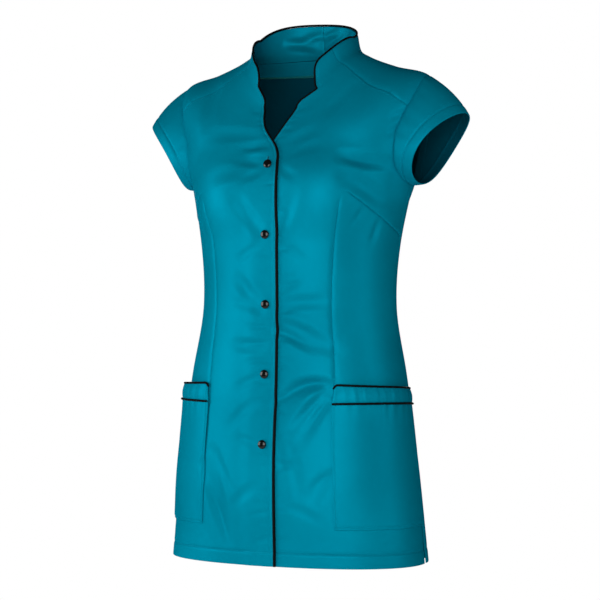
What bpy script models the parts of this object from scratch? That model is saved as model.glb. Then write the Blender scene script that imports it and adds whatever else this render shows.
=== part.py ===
"""Short-sleeved tunic: two fronts that button on the right-over-left lap, a back that comes over the
shoulders, cap sleeves, a stand collar cut on to the fronts and back, and two piped patch pockets.

Metres, +Z up. The wearer faces -Y and their left is +X. The origin is on the body's axis at the level of
the side of the neck, where the shoulders carry the garment.

Every cloth piece is a grid in two surface coordinates: an angle round the body (0 at the centre front,
90 at the wearer's left side, 180 at the centre back) and a level that counts up from the hem, over the
shoulder and up the collar. The grid is the wall's inner face, and Solidify gives it its thickness.
"""

import functools
import math

import bmesh
import bpy
import numpy as np
from mathutils import Vector

# ---------------------------------------------------------------- driving sizes, in metres
WALL = 0.0014            # satin with its turnings
GAP = 0.0003             # left between two pieces that meet
SLEEVE_GAP = 0.0004      # a little more round the armhole, which bends
LAP_OVER = 0.016         # the over front's edge, past the centre
LAP_UNDER = 0.018        # the under front's edge, past the centre the other way
UNDER_PIPING_FROM = 0.002  # how far from the centre the under front's piping starts, at the crossing
LAP_CLEARED = 0.040      # where the over front has come down to lie on the figure again
LAP_MARGIN = 0.001       # it keeps its full height so far beyond the under front's edge
PIPING_RADIUS = 0.0014
FACING_WALL = 0.0012
FACING_SEAM = 0.0010     # between the neck facing and the stand, where the facing bends up into it
POCKET_BAG = 0.0055      # how far a pocket's top stands off the front
POCKET_BAG_FOOT = 0.15   # of that, what is left at its bottom
POCKET_TOP_DROP = 0.38   # how much narrower its band is at the side seam than at the dart, as a share
POCKET_BAG_EDGE = 0.04   # how far up its bulge the sewn edges already are, as a share of its width

HEM = -0.727
POCKET_BOTTOM = -0.673
SLIT_TOP = -0.612
BAND_BOTTOM = -0.500
POCKET_TOP = -0.472
WAIST = -0.362
UNDERARM = -0.190
SHOULDER_TIP = -0.037
FACING_BOTTOM = 0.008
SHOULDER_MIDDLE = 0.047
NECK_BASE = 0.060
COLLAR_FOOT = 0.071
COLLAR_TOP = 0.090
COLLAR_LIFT = 0.0065     # the collar's top stands this much higher at one place behind the right side
COLLAR_LIFT_AT = 235.0

SLIT_OPENING = 0.005     # between front and back at the hem
ARMHOLE_MIDDLE = (UNDERARM + SHOULDER_TIP) / 2
ARMHOLE_HALF_HEIGHT = (SHOULDER_TIP - UNDERARM) / 2
ARMHOLE_HALF_ANGLE = 28.0
ARMHOLE_STEP = 15.0      # degrees between two points round the armhole
YOKE_ON_ARMHOLE = 30.0   # where the forward shoulder seam meets it, in degrees above its middle
SIDE = 90.0
CENTRE_BACK = 180.0
FULL_TURN = 360.0

BUTTON_RADIUS = 0.00625
BUTTON_RIM = 0.0016
BUTTON_DOME = 0.0040
BUTTON_SHANK_RADIUS = 0.0022
BUTTON_SHANK_HEIGHT = 0.0008
BUTTON_SIDES, BUTTON_STEPS = 14, 3
BUTTON_HEIGHTS = [-0.165 - 0.098 * step for step in range(5)]

TEAL = (0.0, 0.19, 0.27)
BLACK = (0.008, 0.008, 0.009)

# The figure that the cloth hangs on, ring by ring. A ring's height and depth are given at the centre
# front, at the side and at the centre back; squareness 2 is an ellipse.
RING_COLUMNS = ("level", "z_front", "z_side", "z_back", "half_width", "y_front", "y_side", "y_back",
                "squareness", "back_rise")
RINGS = {
    "hem": (HEM, HEM, HEM, HEM, 0.1920, -0.115, -0.007, 0.125, 2.25, 2.0),
    "hip": (-0.580, -0.580, -0.580, -0.580, 0.1770, -0.118, -0.007, 0.115, 2.2, 2.0),
    "high hip": (-0.463, -0.463, -0.463, -0.463, 0.1610, -0.110, -0.005, 0.104, 2.15, 2.0),
    "waist": (WAIST, WAIST, WAIST, WAIST, 0.1445, -0.108, 0.001, 0.093, 2.1, 2.0),
    "ribs": (-0.275, -0.275, -0.275, -0.275, 0.1485, -0.109, 0.004, 0.100, 2.15, 2.0),
    "bust": (-0.220, -0.220, -0.220, -0.220, 0.1580, -0.109, 0.006, 0.110, 2.2, 2.0),
    "underarm": (UNDERARM, -0.195, UNDERARM, -0.187, 0.1650, -0.107, 0.008, 0.114, 2.2, 2.0),
    "across chest": (-0.1135, -0.158, -0.1135, -0.120, 0.1850, -0.098, 0.016, 0.119, 2.15, 2.0),
    "shoulder tip": (SHOULDER_TIP, -0.125, SHOULDER_TIP, -0.062, 0.1890, -0.086, 0.028, 0.115, 2.1, 2.0),
    "mid shoulder": (0.013, -0.102, -0.0215, -0.022, 0.1390, -0.076, 0.026, 0.104, 2.0, 2.0),
    "neck base": (NECK_BASE, -0.081, -0.0036, 0.003, 0.0940, -0.068, 0.023, 0.091, 2.0, 2.0),
    "collar foot": (COLLAR_FOOT, -0.072, 0.0025, 0.0115, 0.0830, -0.067, 0.023, 0.086, 2.0, 1.6),
    "collar top": (COLLAR_TOP, -0.0439, 0.0225, 0.050, 0.0760, -0.065, 0.023, 0.080, 2.0, 1.1),
}

# The neckline and the collar's front edge, from where the fronts cross up to the collar's top edge.
LINE_COLUMNS = ("across", "height")
NECKLINE = {
    "lap": (-0.013, -0.150),
    "crossing": (0.000, -0.137),
    "low V": (0.0055, -0.129),
    "mid V": (0.0144, -0.113),
    "high V": (0.0290, -0.083),
    "lapel corner": (0.0345, -0.0735),
    "lapel top": (0.0420, -0.0660),
    "notch": (0.0475, -0.0600),
    "collar front": (0.0480, -0.0450),
    "collar corner": (0.0445, -0.0250),
}

# Where the forward shoulder seam runs on the chest, from the collar's edge down to the armhole.
YOKE_SEAM = {
    "on the collar": (0.0640, 0.0000),
    "at the neck": (0.0760, -0.0180),
    "upper": (0.1050, -0.0380),
    "lower": (0.1450, -0.0580),
}

# How far round from the centre front the side seam lies at each level, in degrees, and the vertical dart,
# whose line the pocket's front edge goes on down.
SIDE_SEAM = {HEM: 100.0, SLIT_TOP: 100.5, WAIST: 101.0, -0.270: 98.0, -0.225: 93.0, UNDERARM: 90.0}
DART_LINE = {HEM: 34.6, -0.600: 34.9, BAND_BOTTOM: 35.8, POCKET_TOP: 36.9, WAIST: 38.2, -0.210: 38.8}

# Soft troughs (depth > 0) and swells (depth < 0) on the front, each from one place to another; bow
# bends the line upwards at its middle. A swell from a place to itself is a round one, as at a dart's end.
FOLD_COLUMNS = ("across", "height", "to_across", "to_height", "depth", "width", "bow")
FOLDS = {
    "left bust dart's fullness": (0.083, -0.200, 0.083, -0.200, -0.011, 0.080, 0.0),
    "right bust dart's fullness": (-0.083, -0.200, -0.083, -0.200, -0.011, 0.080, 0.0),
    "left underarm": (0.166, -0.186, 0.166, -0.186, -0.0060, 0.045, 0.0),
    "right underarm": (-0.166, -0.186, -0.166, -0.186, -0.0060, 0.045, 0.0),
    "from the crossing, upper": (-0.010, -0.139, -0.062, -0.141, 0.0040, 0.014, 0.0),
    "from the crossing, lower": (-0.012, -0.158, -0.066, -0.152, 0.0030, 0.014, 0.0),
    "second button, right": (-0.006, -0.262, -0.052, -0.205, 0.0035, 0.015, 0.0),
    "second button, left": (0.020, -0.262, 0.048, -0.198, 0.0030, 0.015, 0.0),
    "third button, right": (-0.008, -0.366, -0.055, -0.317, 0.0035, 0.016, 0.0),
    "below the third button": (0.022, -0.398, 0.100, -0.428, 0.0040, 0.016, 0.006),
    "waist, right": (-0.008, -0.420, -0.060, -0.418, 0.0030, 0.014, 0.0),
    "left chest": (0.105, -0.156, 0.165, -0.166, 0.0050, 0.015, 0.0),
    "above the left bust dart": (0.110, -0.182, 0.160, -0.222, 0.0040, 0.018, 0.0),
    "left pocket corner, upper": (0.094, -0.478, 0.024, -0.505, 0.0045, 0.016, 0.014),
    "left pocket corner, lower": (0.092, -0.492, 0.050, -0.560, 0.0040, 0.018, 0.008),
    "right pocket corner, lower": (-0.086, -0.570, -0.060, -0.690, 0.0035, 0.016, -0.006),
    "below the right pocket corner": (-0.100, -0.590, -0.074, -0.668, 0.0030, 0.014, 0.0),
    "left hem": (0.092, -0.602, 0.066, -0.640, 0.0030, 0.018, 0.0),
}
BACK_FOLDS = {
    "left small of the back": (0.030, -0.352, 0.105, -0.385, 0.0045, 0.018, 0.008),
    "right small of the back": (-0.024, -0.372, -0.110, -0.398, 0.0045, 0.018, 0.008),
    "left waist": (0.020, -0.318, 0.080, -0.300, 0.0035, 0.016, 0.0),
    "right waist": (-0.030, -0.330, -0.090, -0.322, 0.0035, 0.016, 0.0),
    "left shoulder blade": (0.130, -0.130, 0.095, -0.235, 0.0040, 0.020, 0.0),
    "right shoulder blade": (-0.128, -0.126, -0.098, -0.225, 0.0040, 0.020, 0.0),
    "left skirt": (0.090, -0.500, 0.105, -0.690, 0.0035, 0.022, 0.0),
    "right skirt": (-0.080, -0.520, -0.098, -0.700, 0.0035, 0.022, 0.0),
}

# The cuff's edge on the left sleeve, at its four quarters: across, y, height.
CUFF = {
    "front": (0.201, -0.036, -0.140),
    "top": (0.250, 0.016, -0.093),
    "back": (0.215, 0.062, -0.140),
    "bottom": (0.187, 0.010, -0.190),
}
SLEEVE_ROUNDING = 0.0055     # how far the sleeve's top stands above the straight line to the cuff
SLEEVE_UNDER_SHARE = 0.2     # of that, what is left under the arm
SLEEVE_FULL_LENGTH = 0.05    # a stretch of sleeve this long or more takes all of it

# Levels of the grid's rows: up to each level, in so many rows.
FRONT_ROWS = (
    (POCKET_BOTTOM, 3), (SLIT_TOP, 3), (BAND_BOTTOM, 5), (POCKET_TOP, 2), (WAIST, 7), (UNDERARM, 12),
)
SHOULDER_ROWS = ((FACING_BOTTOM, 3), (SHOULDER_MIDDLE, 3))
NOTCH_ROWS = ((0.052, 1), (0.067, 6), (COLLAR_FOOT, 1), (0.080, 1))
COLLAR_CORNER = 0.010
COLLAR_CORNER_ANGLE = 7.0
COLLAR_CORNER_STEPS = 3
BACK_ROWS = (
    (POCKET_BOTTOM, 3), (SLIT_TOP, 3), (BAND_BOTTOM, 5), (POCKET_TOP, 2), (WAIST, 7), (UNDERARM, 12),
)
BACK_SHOULDER_ROWS = (
    (FACING_BOTTOM, 3), (SHOULDER_MIDDLE, 3), (0.052, 1), (NECK_BASE, 2), (COLLAR_FOOT, 2), (COLLAR_TOP, 2),
)
LAP_SHARE, MIDDLE_SHARE = 0.08, 0.42
LAP_COLUMNS, INNER_COLUMNS, OUTER_COLUMNS = 2, 3, 6
TAB_COLUMNS, BACK_COLUMNS = 2, 20
SLEEVE_ROWS = 5
STEEPEST = 3.0           # how much steeper than its neighbours a table's curve may run


# ---------------------------------------------------------------- the surface
@functools.cache
def curve_through(knots, values, loose):
    """A table's points as arrays, with slopes for a smooth curve; unless loose, it hardly overshoots."""
    knots, values = np.array(knots), np.array(values)
    widths = np.diff(knots)
    rises = np.diff(values) / widths
    slopes = np.concatenate([rises[:1], np.zeros(len(rises) - 1), rises[-1:]])
    for i in range(1, len(rises)):
        parabola = (rises[i - 1] * widths[i] + rises[i] * widths[i - 1]) / (widths[i - 1] + widths[i])
        steepest = STEEPEST * min(abs(rises[i - 1]), abs(rises[i]))
        slopes[i] = parabola if loose else np.clip(parabola, -steepest, steepest)
    return knots, values, widths, slopes


def smooth(at, knots, values, loose=False):
    """The smooth curve through a table's points, read at any place or places."""
    knots, values, widths, slopes = curve_through(tuple(knots), tuple(values), loose)
    at = np.clip(at, knots[0], knots[-1])
    span = np.clip(np.searchsorted(knots, at, side="right") - 1, 0, len(widths) - 1)
    s = (at - knots[span]) / widths[span]
    start, end = values[span], values[span + 1]
    start_slope, end_slope = slopes[span] * widths[span], slopes[span + 1] * widths[span]
    return (start * (1 + 2 * s) * (1 - s) ** 2 + end * s * s * (3 - 2 * s)
            + start_slope * s * (1 - s) ** 2 + end_slope * s * s * (s - 1))


def column(table, columns, name):
    return [row[columns.index(name)] for row in table.values()]


def ring(level, name):
    return smooth(level, column(RINGS, RING_COLUMNS, "level"), column(RINGS, RING_COLUMNS, name), loose=True)


def roundness(angle, level):
    """How far a superellipse's point lies inside the corner of its box: 1 on an ellipse."""
    power = ring(level, "squareness")
    turn = np.radians(angle)
    return (np.abs(np.sin(turn)) ** power + np.abs(np.cos(turn)) ** power) ** (1 / power)


def form(angle, level):
    """The figure's surface, as an array of points."""
    angle, level = np.broadcast_arrays(np.asarray(angle, float), np.asarray(level, float))
    turn = np.radians(angle)
    ahead = np.cos(turn)
    front = ahead > 0
    inset = roundness(angle, level)
    y_side, z_side = ring(level, "y_side"), ring(level, "z_side")
    y_end = np.where(front, ring(level, "y_front"), ring(level, "y_back"))
    z_end = np.where(front, ring(level, "z_front"), ring(level, "z_back"))
    x = ring(level, "half_width") * np.sin(turn) / inset
    y = y_side + (y_end - y_side) * np.abs(ahead) / inset
    rise = np.where(front, 2.0, ring(level, "back_rise"))
    z = z_side + (z_end - z_side) * np.abs(ahead) ** rise
    up_collar = np.clip((level - NECK_BASE) / (COLLAR_TOP - NECK_BASE), 0, 1)
    z += COLLAR_LIFT * up_collar * np.clip(np.cos(np.radians(angle - COLLAR_LIFT_AT)), 0, 1) ** 4
    return np.stack([x, y, z], axis=-1)


def unit(vectors):
    return vectors / np.linalg.norm(vectors, axis=-1, keepdims=True)


def outward(angle, level, step=0.5, rise=0.0015):
    round_body = form(angle + step, level) - form(angle - step, level)
    up_body = form(angle, level + rise) - form(angle, level - rise)
    return unit(np.cross(round_body, up_body))


def angle_across(across, level, back=False):
    """The angle at which a level's ring is so far across."""
    angle = np.zeros(np.broadcast(across, level).shape)
    for _ in range(8):
        share = across * roundness(angle, level) / ring(level, "half_width")
        angle = np.degrees(np.arcsin(np.clip(share, -1, 1)))
    return CENTRE_BACK - angle if back else angle


def locate(across, height, back=False):
    """The angle and level of places given by their real distances across and up, by halving."""
    across, height = np.broadcast_arrays(np.asarray(across, float), np.asarray(height, float))
    low, high = np.full(across.shape, HEM), np.full(across.shape, COLLAR_TOP)
    for _ in range(24):
        level = (low + high) / 2
        too_low = form(angle_across(across, level, back), level)[..., 2] < height
        low, high = np.where(too_low, level, low), np.where(too_low, high, level)
    return angle_across(across, level, back), level


def fold_lines(table, back=False, steps=6):
    """Each fold's points on the form, with its depth and width."""
    share = np.linspace(0, 1, steps + 1)
    lines = []
    for row in table.values():
        fold = dict(zip(FOLD_COLUMNS, row))
        across = fold["across"] + (fold["to_across"] - fold["across"]) * share
        height = fold["height"] + (fold["to_height"] - fold["height"]) * share
        bend = 4 * fold["bow"] * share * (1 - share)
        lines.append((form(*locate(across, height + bend, back)), fold["depth"], fold["width"]))
    return lines


LINES = fold_lines(FOLDS) + fold_lines(BACK_FOLDS, back=True)


def stand_out(points):
    """How far the folds move each point out, in metres."""
    total = np.zeros(points.shape[:-1])
    for line, depth, width in LINES:
        nearest = np.full(total.shape, np.inf)
        along = np.zeros(total.shape)
        for i, (start, end) in enumerate(zip(line[:-1], line[1:])):
            run = end - start
            s = np.clip((points - start) @ run / max(run @ run, 1e-12), 0, 1)
            distance = np.linalg.norm(points - start - s[..., None] * run, axis=-1)
            closer = distance < nearest
            nearest = np.where(closer, distance, nearest)
            along = np.where(closer, (i + s) / (len(line) - 1), along)
        round_one = np.allclose(line[0], line[-1])
        fade = 1.0 if round_one else np.sin(math.pi * (0.15 + 0.8 * along))
        total -= depth * fade * np.clip(1 - (nearest / width) ** 2, 0, None) ** 2
    return total


def cloth(angle, level, lift=0.0):
    """Points of the cloth's inner face, lifted off the figure."""
    points = form(angle, level)
    return points + outward(angle, level) * (stand_out(points) + lift)[..., None]


# ---------------------------------------------------------------- edges and seams
def line_through(table):
    """The levels and angles of a line on the front whose places are given in a table."""
    angles, levels = locate(column(table, LINE_COLUMNS, "across"), column(table, LINE_COLUMNS, "height"))
    order = np.argsort(levels)
    return tuple(levels[order]), tuple(angles[order])


def armhole_level(turn):
    """The armhole is an oval in angle and level; turn runs from -90 at the underarm to 90 at the top."""
    return ARMHOLE_MIDDLE + ARMHOLE_HALF_HEIGHT * math.sin(math.radians(turn))


def armhole_reach(level):
    """How far the armhole's edge lies from the side, in degrees."""
    share = np.clip((level - ARMHOLE_MIDDLE) / ARMHOLE_HALF_HEIGHT, -1, 1)
    return ARMHOLE_HALF_ANGLE * np.sqrt(1 - share ** 2)


def half_gap(angle, level):
    """Half the gap at a seam, in degrees."""
    return GAP / 2 / np.linalg.norm(form(angle + 0.5, level) - form(angle - 0.5, level), axis=-1)


YOKE_LEVEL = armhole_level(YOKE_ON_ARMHOLE)
YOKE_LEVELS, YOKE_ANGLES = line_through(YOKE_SEAM)
NECK_LEVELS, NECK_ANGLES = line_through(NECKLINE)


def yoke_angle(level):
    foot = SIDE - float(armhole_reach(YOKE_LEVEL))
    return smooth(level, (YOKE_LEVEL, *YOKE_LEVELS), (foot, *YOKE_ANGLES))


def side_seam(level):
    return smooth(level, SIDE_SEAM.keys(), SIDE_SEAM.values())


def side_edge(level):
    """The side seam's angle on the front's side, opening into the slit below its top."""
    into_slit = np.clip((SLIT_TOP - level) / (SLIT_TOP - HEM), 0, 1)
    gap = half_gap(side_seam(level), level)
    return side_seam(level) - gap * (1 + SLIT_OPENING / GAP * into_slit)


def neckline_edge(level, lap):
    """The front's inner edge: straight on the lap, then the neckline, then round the collar's corner."""
    straight = angle_across(-lap, level)
    neck = smooth(level, NECK_LEVELS, NECK_ANGLES)
    share = np.clip((level - COLLAR_TOP + COLLAR_CORNER) / COLLAR_CORNER, 0, 1)
    corner = COLLAR_CORNER_ANGLE * (1 - np.sqrt(1 - share ** 2))
    return np.maximum(straight, np.where(level < NECK_LEVELS[0], straight, neck + corner))


def outer_edge(level):
    armhole = SIDE - np.maximum(armhole_reach(level), half_gap(SIDE, level))
    yoke = yoke_angle(level) - half_gap(yoke_angle(level), level)
    below = np.where(level < YOKE_LEVEL + 1e-9, armhole, yoke)
    return np.where(level < UNDERARM - 1e-9, side_edge(level), below)


def rows_up(start, rows):
    levels = [start]
    for top, count in rows:
        levels += list(np.linspace(levels[-1], top, count + 1)[1:])
    return levels


ARMHOLE_TURNS = np.arange(-90.0, 90.0 + ARMHOLE_STEP, ARMHOLE_STEP)
ARMHOLE_LEVELS = [armhole_level(turn) for turn in ARMHOLE_TURNS]


# ---------------------------------------------------------------- panels as grids
def spread(edges, counts):
    """One row's angles: so many columns between each two edges."""
    stops = [float(edge) for edge in edges]
    angles = [stops[0]]
    for start, end, count in zip(stops[:-1], stops[1:], counts):
        angles += list(np.linspace(start, end, count + 1)[1:])
    return angles


def front_levels():
    levels = rows_up(HEM, FRONT_ROWS)[:-1] + ARMHOLE_LEVELS
    levels = levels[:-1] + rows_up(SHOULDER_TIP, SHOULDER_ROWS + NOTCH_ROWS)
    turns = np.radians(np.linspace(0, 90, COLLAR_CORNER_STEPS + 1)[1:])
    return levels + list(COLLAR_TOP - COLLAR_CORNER + COLLAR_CORNER * np.sin(turns))


def front_angles(level, lap):
    """A row of the front, from its own edge to the side, in degrees towards its own side."""
    edge = float(neckline_edge(level, lap))
    outer = float(outer_edge(level))
    lap_end = float(angle_across(LAP_OVER + LAP_UNDER - lap, level))
    lap_end = max(lap_end, edge + LAP_SHARE * (outer - edge))
    above_waist = np.clip((level - WAIST) / (UNDERARM - WAIST), 0, 1)
    dart = float(smooth(level, DART_LINE.keys(), DART_LINE.values()))
    middle = dart + (lap_end + MIDDLE_SHARE * (outer - lap_end) - dart) * above_waist
    return spread((edge, lap_end, middle, outer), (LAP_COLUMNS, INNER_COLUMNS, OUTER_COLUMNS))


def front_grid(side, lap):
    """The front's angles and levels, columns in the sense of growing angle; side is 1 for the left."""
    levels = front_levels()
    angles = np.array([front_angles(level, lap) for level in levels]) * side
    level_grid = np.repeat(np.array(levels)[:, None], angles.shape[1], axis=1)
    if side < 0:
        angles = angles[:, ::-1]
    return angles, level_grid


def lap_lift(angle, level):
    """The over front is raised past the under front's wall, and comes down beyond its edge."""
    slope = LAP_CLEARED - LAP_UNDER - LAP_MARGIN
    past = np.clip((form(angle, level)[..., 0] + LAP_CLEARED) / slope, 0, 1)
    return (WALL + GAP) * past * past * (3 - 2 * past)


def back_grids():
    """The back below the shoulder, the part above it, and the tab in front of each armhole's top."""
    lower = rows_up(HEM, BACK_ROWS)[:-1] + ARMHOLE_LEVELS
    angles = []
    for level in lower:
        if level < UNDERARM - 1e-9:
            edge = float(2 * side_seam(level) - side_edge(level))
        else:
            edge = SIDE + float(armhole_reach(level))
            edge = max(edge, SIDE + float(half_gap(SIDE, level))) if level < ARMHOLE_MIDDLE else edge
        angles.append(np.linspace(edge, FULL_TURN - edge, BACK_COLUMNS + 1))
    body = (np.array(angles), np.repeat(np.array(lower)[:, None], BACK_COLUMNS + 1, axis=1))

    upper = rows_up(SHOULDER_TIP, BACK_SHOULDER_ROWS)
    angles = []
    for level in upper:
        seam = float(yoke_angle(level) + half_gap(yoke_angle(level), level))
        tab = list(np.linspace(seam, SIDE, TAB_COLUMNS + 1)[:-1])
        angles.append(tab + list(np.linspace(SIDE, FULL_TURN - SIDE, BACK_COLUMNS + 1))
                      + [FULL_TURN - angle for angle in reversed(tab)])
    shoulders = (np.array(angles), np.repeat(np.array(upper)[:, None], len(angles[0]), axis=1))

    tabs = []
    for mirrored in (False, True):
        angles, levels = [], []
        for turn, level in zip(ARMHOLE_TURNS, ARMHOLE_LEVELS):
            if turn < YOKE_ON_ARMHOLE - 1e-6:
                continue
            seam = float(yoke_angle(level) + half_gap(yoke_angle(level), level))
            edge = max(SIDE - float(armhole_reach(level)), seam)
            row = np.linspace(seam, edge, TAB_COLUMNS + 1)
            angles.append(FULL_TURN - row[::-1] if mirrored else row)
            levels.append([level] * (TAB_COLUMNS + 1))
        tabs.append((np.array(angles), np.array(levels)))
    return [body, shoulders] + tabs


def cuff_edge(turns, side):
    """The cuff's closed curve through its four quarters, as many points as turns."""
    front, top, back, bottom = (np.array(CUFF[name]) for name in ("front", "top", "back", "bottom"))
    middle = (front + top + back + bottom) / 4
    squash = (front + back - top - bottom) / 4
    turn = np.radians(turns)[:, None]
    edge = (middle + (front - back) / 2 * np.cos(turn) + (top - bottom) / 2 * np.sin(turn)
            + squash * np.cos(2 * turn))
    return edge * np.array([side, 1, 1])


def sleeve_rings(side):
    """The sleeve's rings of points from the armhole to the cuff, each starting at the underarm."""
    turns = np.arange(ARMHOLE_TURNS[0], ARMHOLE_TURNS[0] + FULL_TURN, ARMHOLE_STEP)
    on_front = turns <= 90
    climb = np.radians(np.where(on_front, turns, 180 - turns))
    level = ARMHOLE_MIDDLE + ARMHOLE_HALF_HEIGHT * np.sin(climb)
    reach = ARMHOLE_HALF_ANGLE * np.cos(climb)
    angle = (SIDE + np.where(on_front, -reach, reach)) * side
    start = cloth(angle, level)
    cuff = cuff_edge(turns, side)
    length = np.linalg.norm(cuff - start, axis=1, keepdims=True)
    run = (cuff - start) / length
    round_ring = np.roll(cuff, -1, axis=0) - np.roll(cuff, 1, axis=0)
    swell = unit(np.cross(run, round_ring))
    swell *= np.sign(np.sum(swell * (cuff - cuff.mean(axis=0)), axis=1))[:, None]
    upper = np.clip(np.sin(np.radians(turns)), SLEEVE_UNDER_SHARE, 1)[:, None]
    swell *= SLEEVE_ROUNDING * upper * np.clip(length / SLEEVE_FULL_LENGTH, 0, 1)
    heading = unit(run + swell * 4 / length)
    outwards = np.clip(np.sum(heading * outward(angle, level), axis=1, keepdims=True), 0, 1)
    start = start + heading * (SLEEVE_GAP + WALL * outwards)
    share = np.linspace(0, 1, SLEEVE_ROWS + 1)[:, None, None]
    return start + (cuff - start) * share + swell * 4 * share * (1 - share)


# ---------------------------------------------------------------- making objects
def material(name, colour, roughness, sheen=0.0):
    made = bpy.data.materials.new(name)
    made.use_nodes = True
    shader = made.node_tree.nodes["Principled BSDF"]
    shader.inputs["Base Color"].default_value = (*colour, 1)
    shader.inputs["Roughness"].default_value = roughness
    shader.inputs["Sheen Weight"].default_value = sheen
    made.diffuse_color = (*colour, 1)
    return made


def add_object(name, data, surface, collection):
    data.materials.append(surface)
    made = bpy.data.objects.new(name, data)
    collection.objects.link(made)
    return made


def add_shell(name, patches, surface, collection, wall=WALL):
    """A wall on one grid of points, or on a few that share their borders."""
    mesh = bpy.data.meshes.new(name)
    shape = bmesh.new()
    for points in patches:
        before = len(shape.verts)
        rows, columns = points.shape[:2]
        bmesh.ops.create_grid(shape, x_segments=columns - 1, y_segments=rows - 1, size=1)
        shape.verts.ensure_lookup_table()
        for vert, place in zip(shape.verts[before:], points.reshape(-1, 3)):
            vert.co = place
    bmesh.ops.remove_doubles(shape, verts=shape.verts, dist=0.00001)
    shape.to_mesh(mesh)
    shape.free()
    mesh.shade_smooth()
    made = add_object(name, mesh, surface, collection)
    thickness = made.modifiers.new("wall", "SOLIDIFY")
    thickness.thickness = wall
    thickness.offset = 1
    return made


def add_piping(name, points, surface, collection):
    curve = bpy.data.curves.new(name, "CURVE")
    curve.dimensions = "3D"
    line = curve.splines.new("POLY")
    line.points.add(len(points) - 1)
    for spot, place in zip(line.points, points):
        spot.co = (*place, 1)
    curve.bevel_depth = PIPING_RADIUS
    curve.bevel_resolution = 1
    curve.use_fill_caps = True
    return add_object(name, curve, surface, collection)


def beside(edge, inner, normals, out=PIPING_RADIUS + GAP, up=WALL / 2):
    """A line that runs along a wall's edge, just clear of it; inner is the next column of the wall."""
    along = unit(np.gradient(edge, axis=0))
    aside = unit(np.cross(normals, along))
    aside *= np.sign(np.sum(aside * (edge - inner), axis=1))[:, None]
    return edge + aside * out + normals * up


# ---------------------------------------------------------------- the pieces
def make_front(name, surface, collection, side, lap):
    """A front with its grown-on collar; gives back its points and the line of its edge's piping."""
    over = side < 0
    angles, levels = front_grid(side, lap)
    points = cloth(angles, levels, lap_lift(angles, levels) if over else 0.0)
    add_shell(name, [points], surface, collection)
    normals = outward(angles, levels)
    if over:
        points, normals = points[:, ::-1], normals[:, ::-1]
    edge = np.concatenate([points[:, 0], points[-1, 1:]])
    inner = np.concatenate([points[:, 1], points[-2, 1:]])
    facing = np.concatenate([normals[:, 0], normals[-1, 1:]])
    return points, normals, beside(edge, inner, facing, up=PIPING_RADIUS if over else WALL / 2)


def make_pocket(side, points, normals, cloth_surface, piping_surface, collection):
    """A patch pocket from the dart line to the side seam: bag, band and a piping over each top edge."""
    name = "left" if side > 0 else "right"
    levels = front_levels()
    first = LAP_COLUMNS + INNER_COLUMNS
    bottom, joint, top = (int(np.argmin(np.abs(np.array(levels) - level)))
                          for level in (POCKET_BOTTOM, BAND_BOTTOM, POCKET_TOP))
    across = np.linspace(0, 1, points.shape[1] - first)
    up = np.clip((np.array(levels[bottom:top + 1]) - POCKET_BOTTOM) / (POCKET_TOP - POCKET_BOTTOM), 0, 1)
    crown = np.sqrt(np.sin(math.pi * (POCKET_BAG_EDGE + (1 - 2 * POCKET_BAG_EDGE) * across)))
    fullness = POCKET_BAG_FOOT + (1 - POCKET_BAG_FOOT) * up
    lift = WALL + GAP + POCKET_BAG * fullness[:, None] * crown
    outer = points[bottom:top + 1, first:] + normals[bottom:top + 1, first:] * lift[..., None]
    bag_rows = joint - bottom + 1
    narrowing = 1 - POCKET_TOP_DROP * across[:, None] ** 2
    outer[bag_rows:] = outer[bag_rows - 1] + (outer[bag_rows:] - outer[bag_rows - 1]) * narrowing
    seam = unit(outer[bag_rows - 1] - outer[bag_rows - 2]) * GAP / 2
    bag_points = np.concatenate([outer[:bag_rows - 1], outer[bag_rows - 1:bag_rows] - seam])
    band_points = np.concatenate([outer[bag_rows - 1:bag_rows] + seam, outer[bag_rows:]])
    facing = normals[bottom:top + 1, first:]
    over = facing[bag_rows - 1] * (WALL + GAP + PIPING_RADIUS)
    pipings = {
        f"pocket_joint_piping_{name}": outer[bag_rows - 1] + over,
        f"pocket_top_piping_{name}": beside(outer[-1], outer[-2], facing[-1]),
    }
    order = slice(None) if side > 0 else slice(None, None, -1)
    add_shell(f"pocket_{name}", [bag_points[:, order]], cloth_surface, collection)
    add_shell(f"pocket_band_{name}", [band_points[:, order]], cloth_surface, collection)
    for piping, line in pipings.items():
        add_piping(piping, line, piping_surface, collection)


def make_back(cloth_surface, piping_surface, collection):
    """The back with the shoulders and the back of the collar, and the piping on the collar."""
    grids = back_grids()
    points = [cloth(angles, levels) for angles, levels in grids]
    add_shell("back", points, cloth_surface, collection)
    upper = points[1]
    normals = outward(*grids[1])
    add_piping("piping_collar", beside(upper[-1], upper[-2], normals[-1]), piping_surface, collection)
    return grids[1], upper, normals


def make_facings(grid, points, normals, cloth_surface, collection):
    """Inside the neck: the stand's two halves, joined at the centre back, and the back neck facing."""
    levels = grid[1][:, 0]
    inner = points - normals * (FACING_WALL + GAP)
    low, bottom = (int(np.argmin(np.abs(levels - level))) for level in (NECK_BASE, FACING_BOTTOM))
    middle = points.shape[1] // 2
    stand = inner[low:].copy()
    stand[-1] -= unit(stand[-1] - stand[-2]) * GAP
    half = unit(stand[:, middle] - stand[:, middle - 1]) * GAP / 2
    left = np.concatenate([stand[:, 1:middle], (stand[:, middle] - half)[:, None]], axis=1)
    right = np.concatenate([(stand[:, middle] + half)[:, None], stand[:, middle + 1:-1]], axis=1)
    add_shell("collar_facing_left", [left], cloth_surface, collection, FACING_WALL)
    add_shell("collar_facing_right", [right], cloth_surface, collection, FACING_WALL)
    neck = inner[bottom:low + 1, 1:-1].copy()
    neck[-1] -= unit(neck[-1] - neck[-2]) * FACING_SEAM
    add_shell("neck_facing", [neck], cloth_surface, collection, FACING_WALL)


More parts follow.
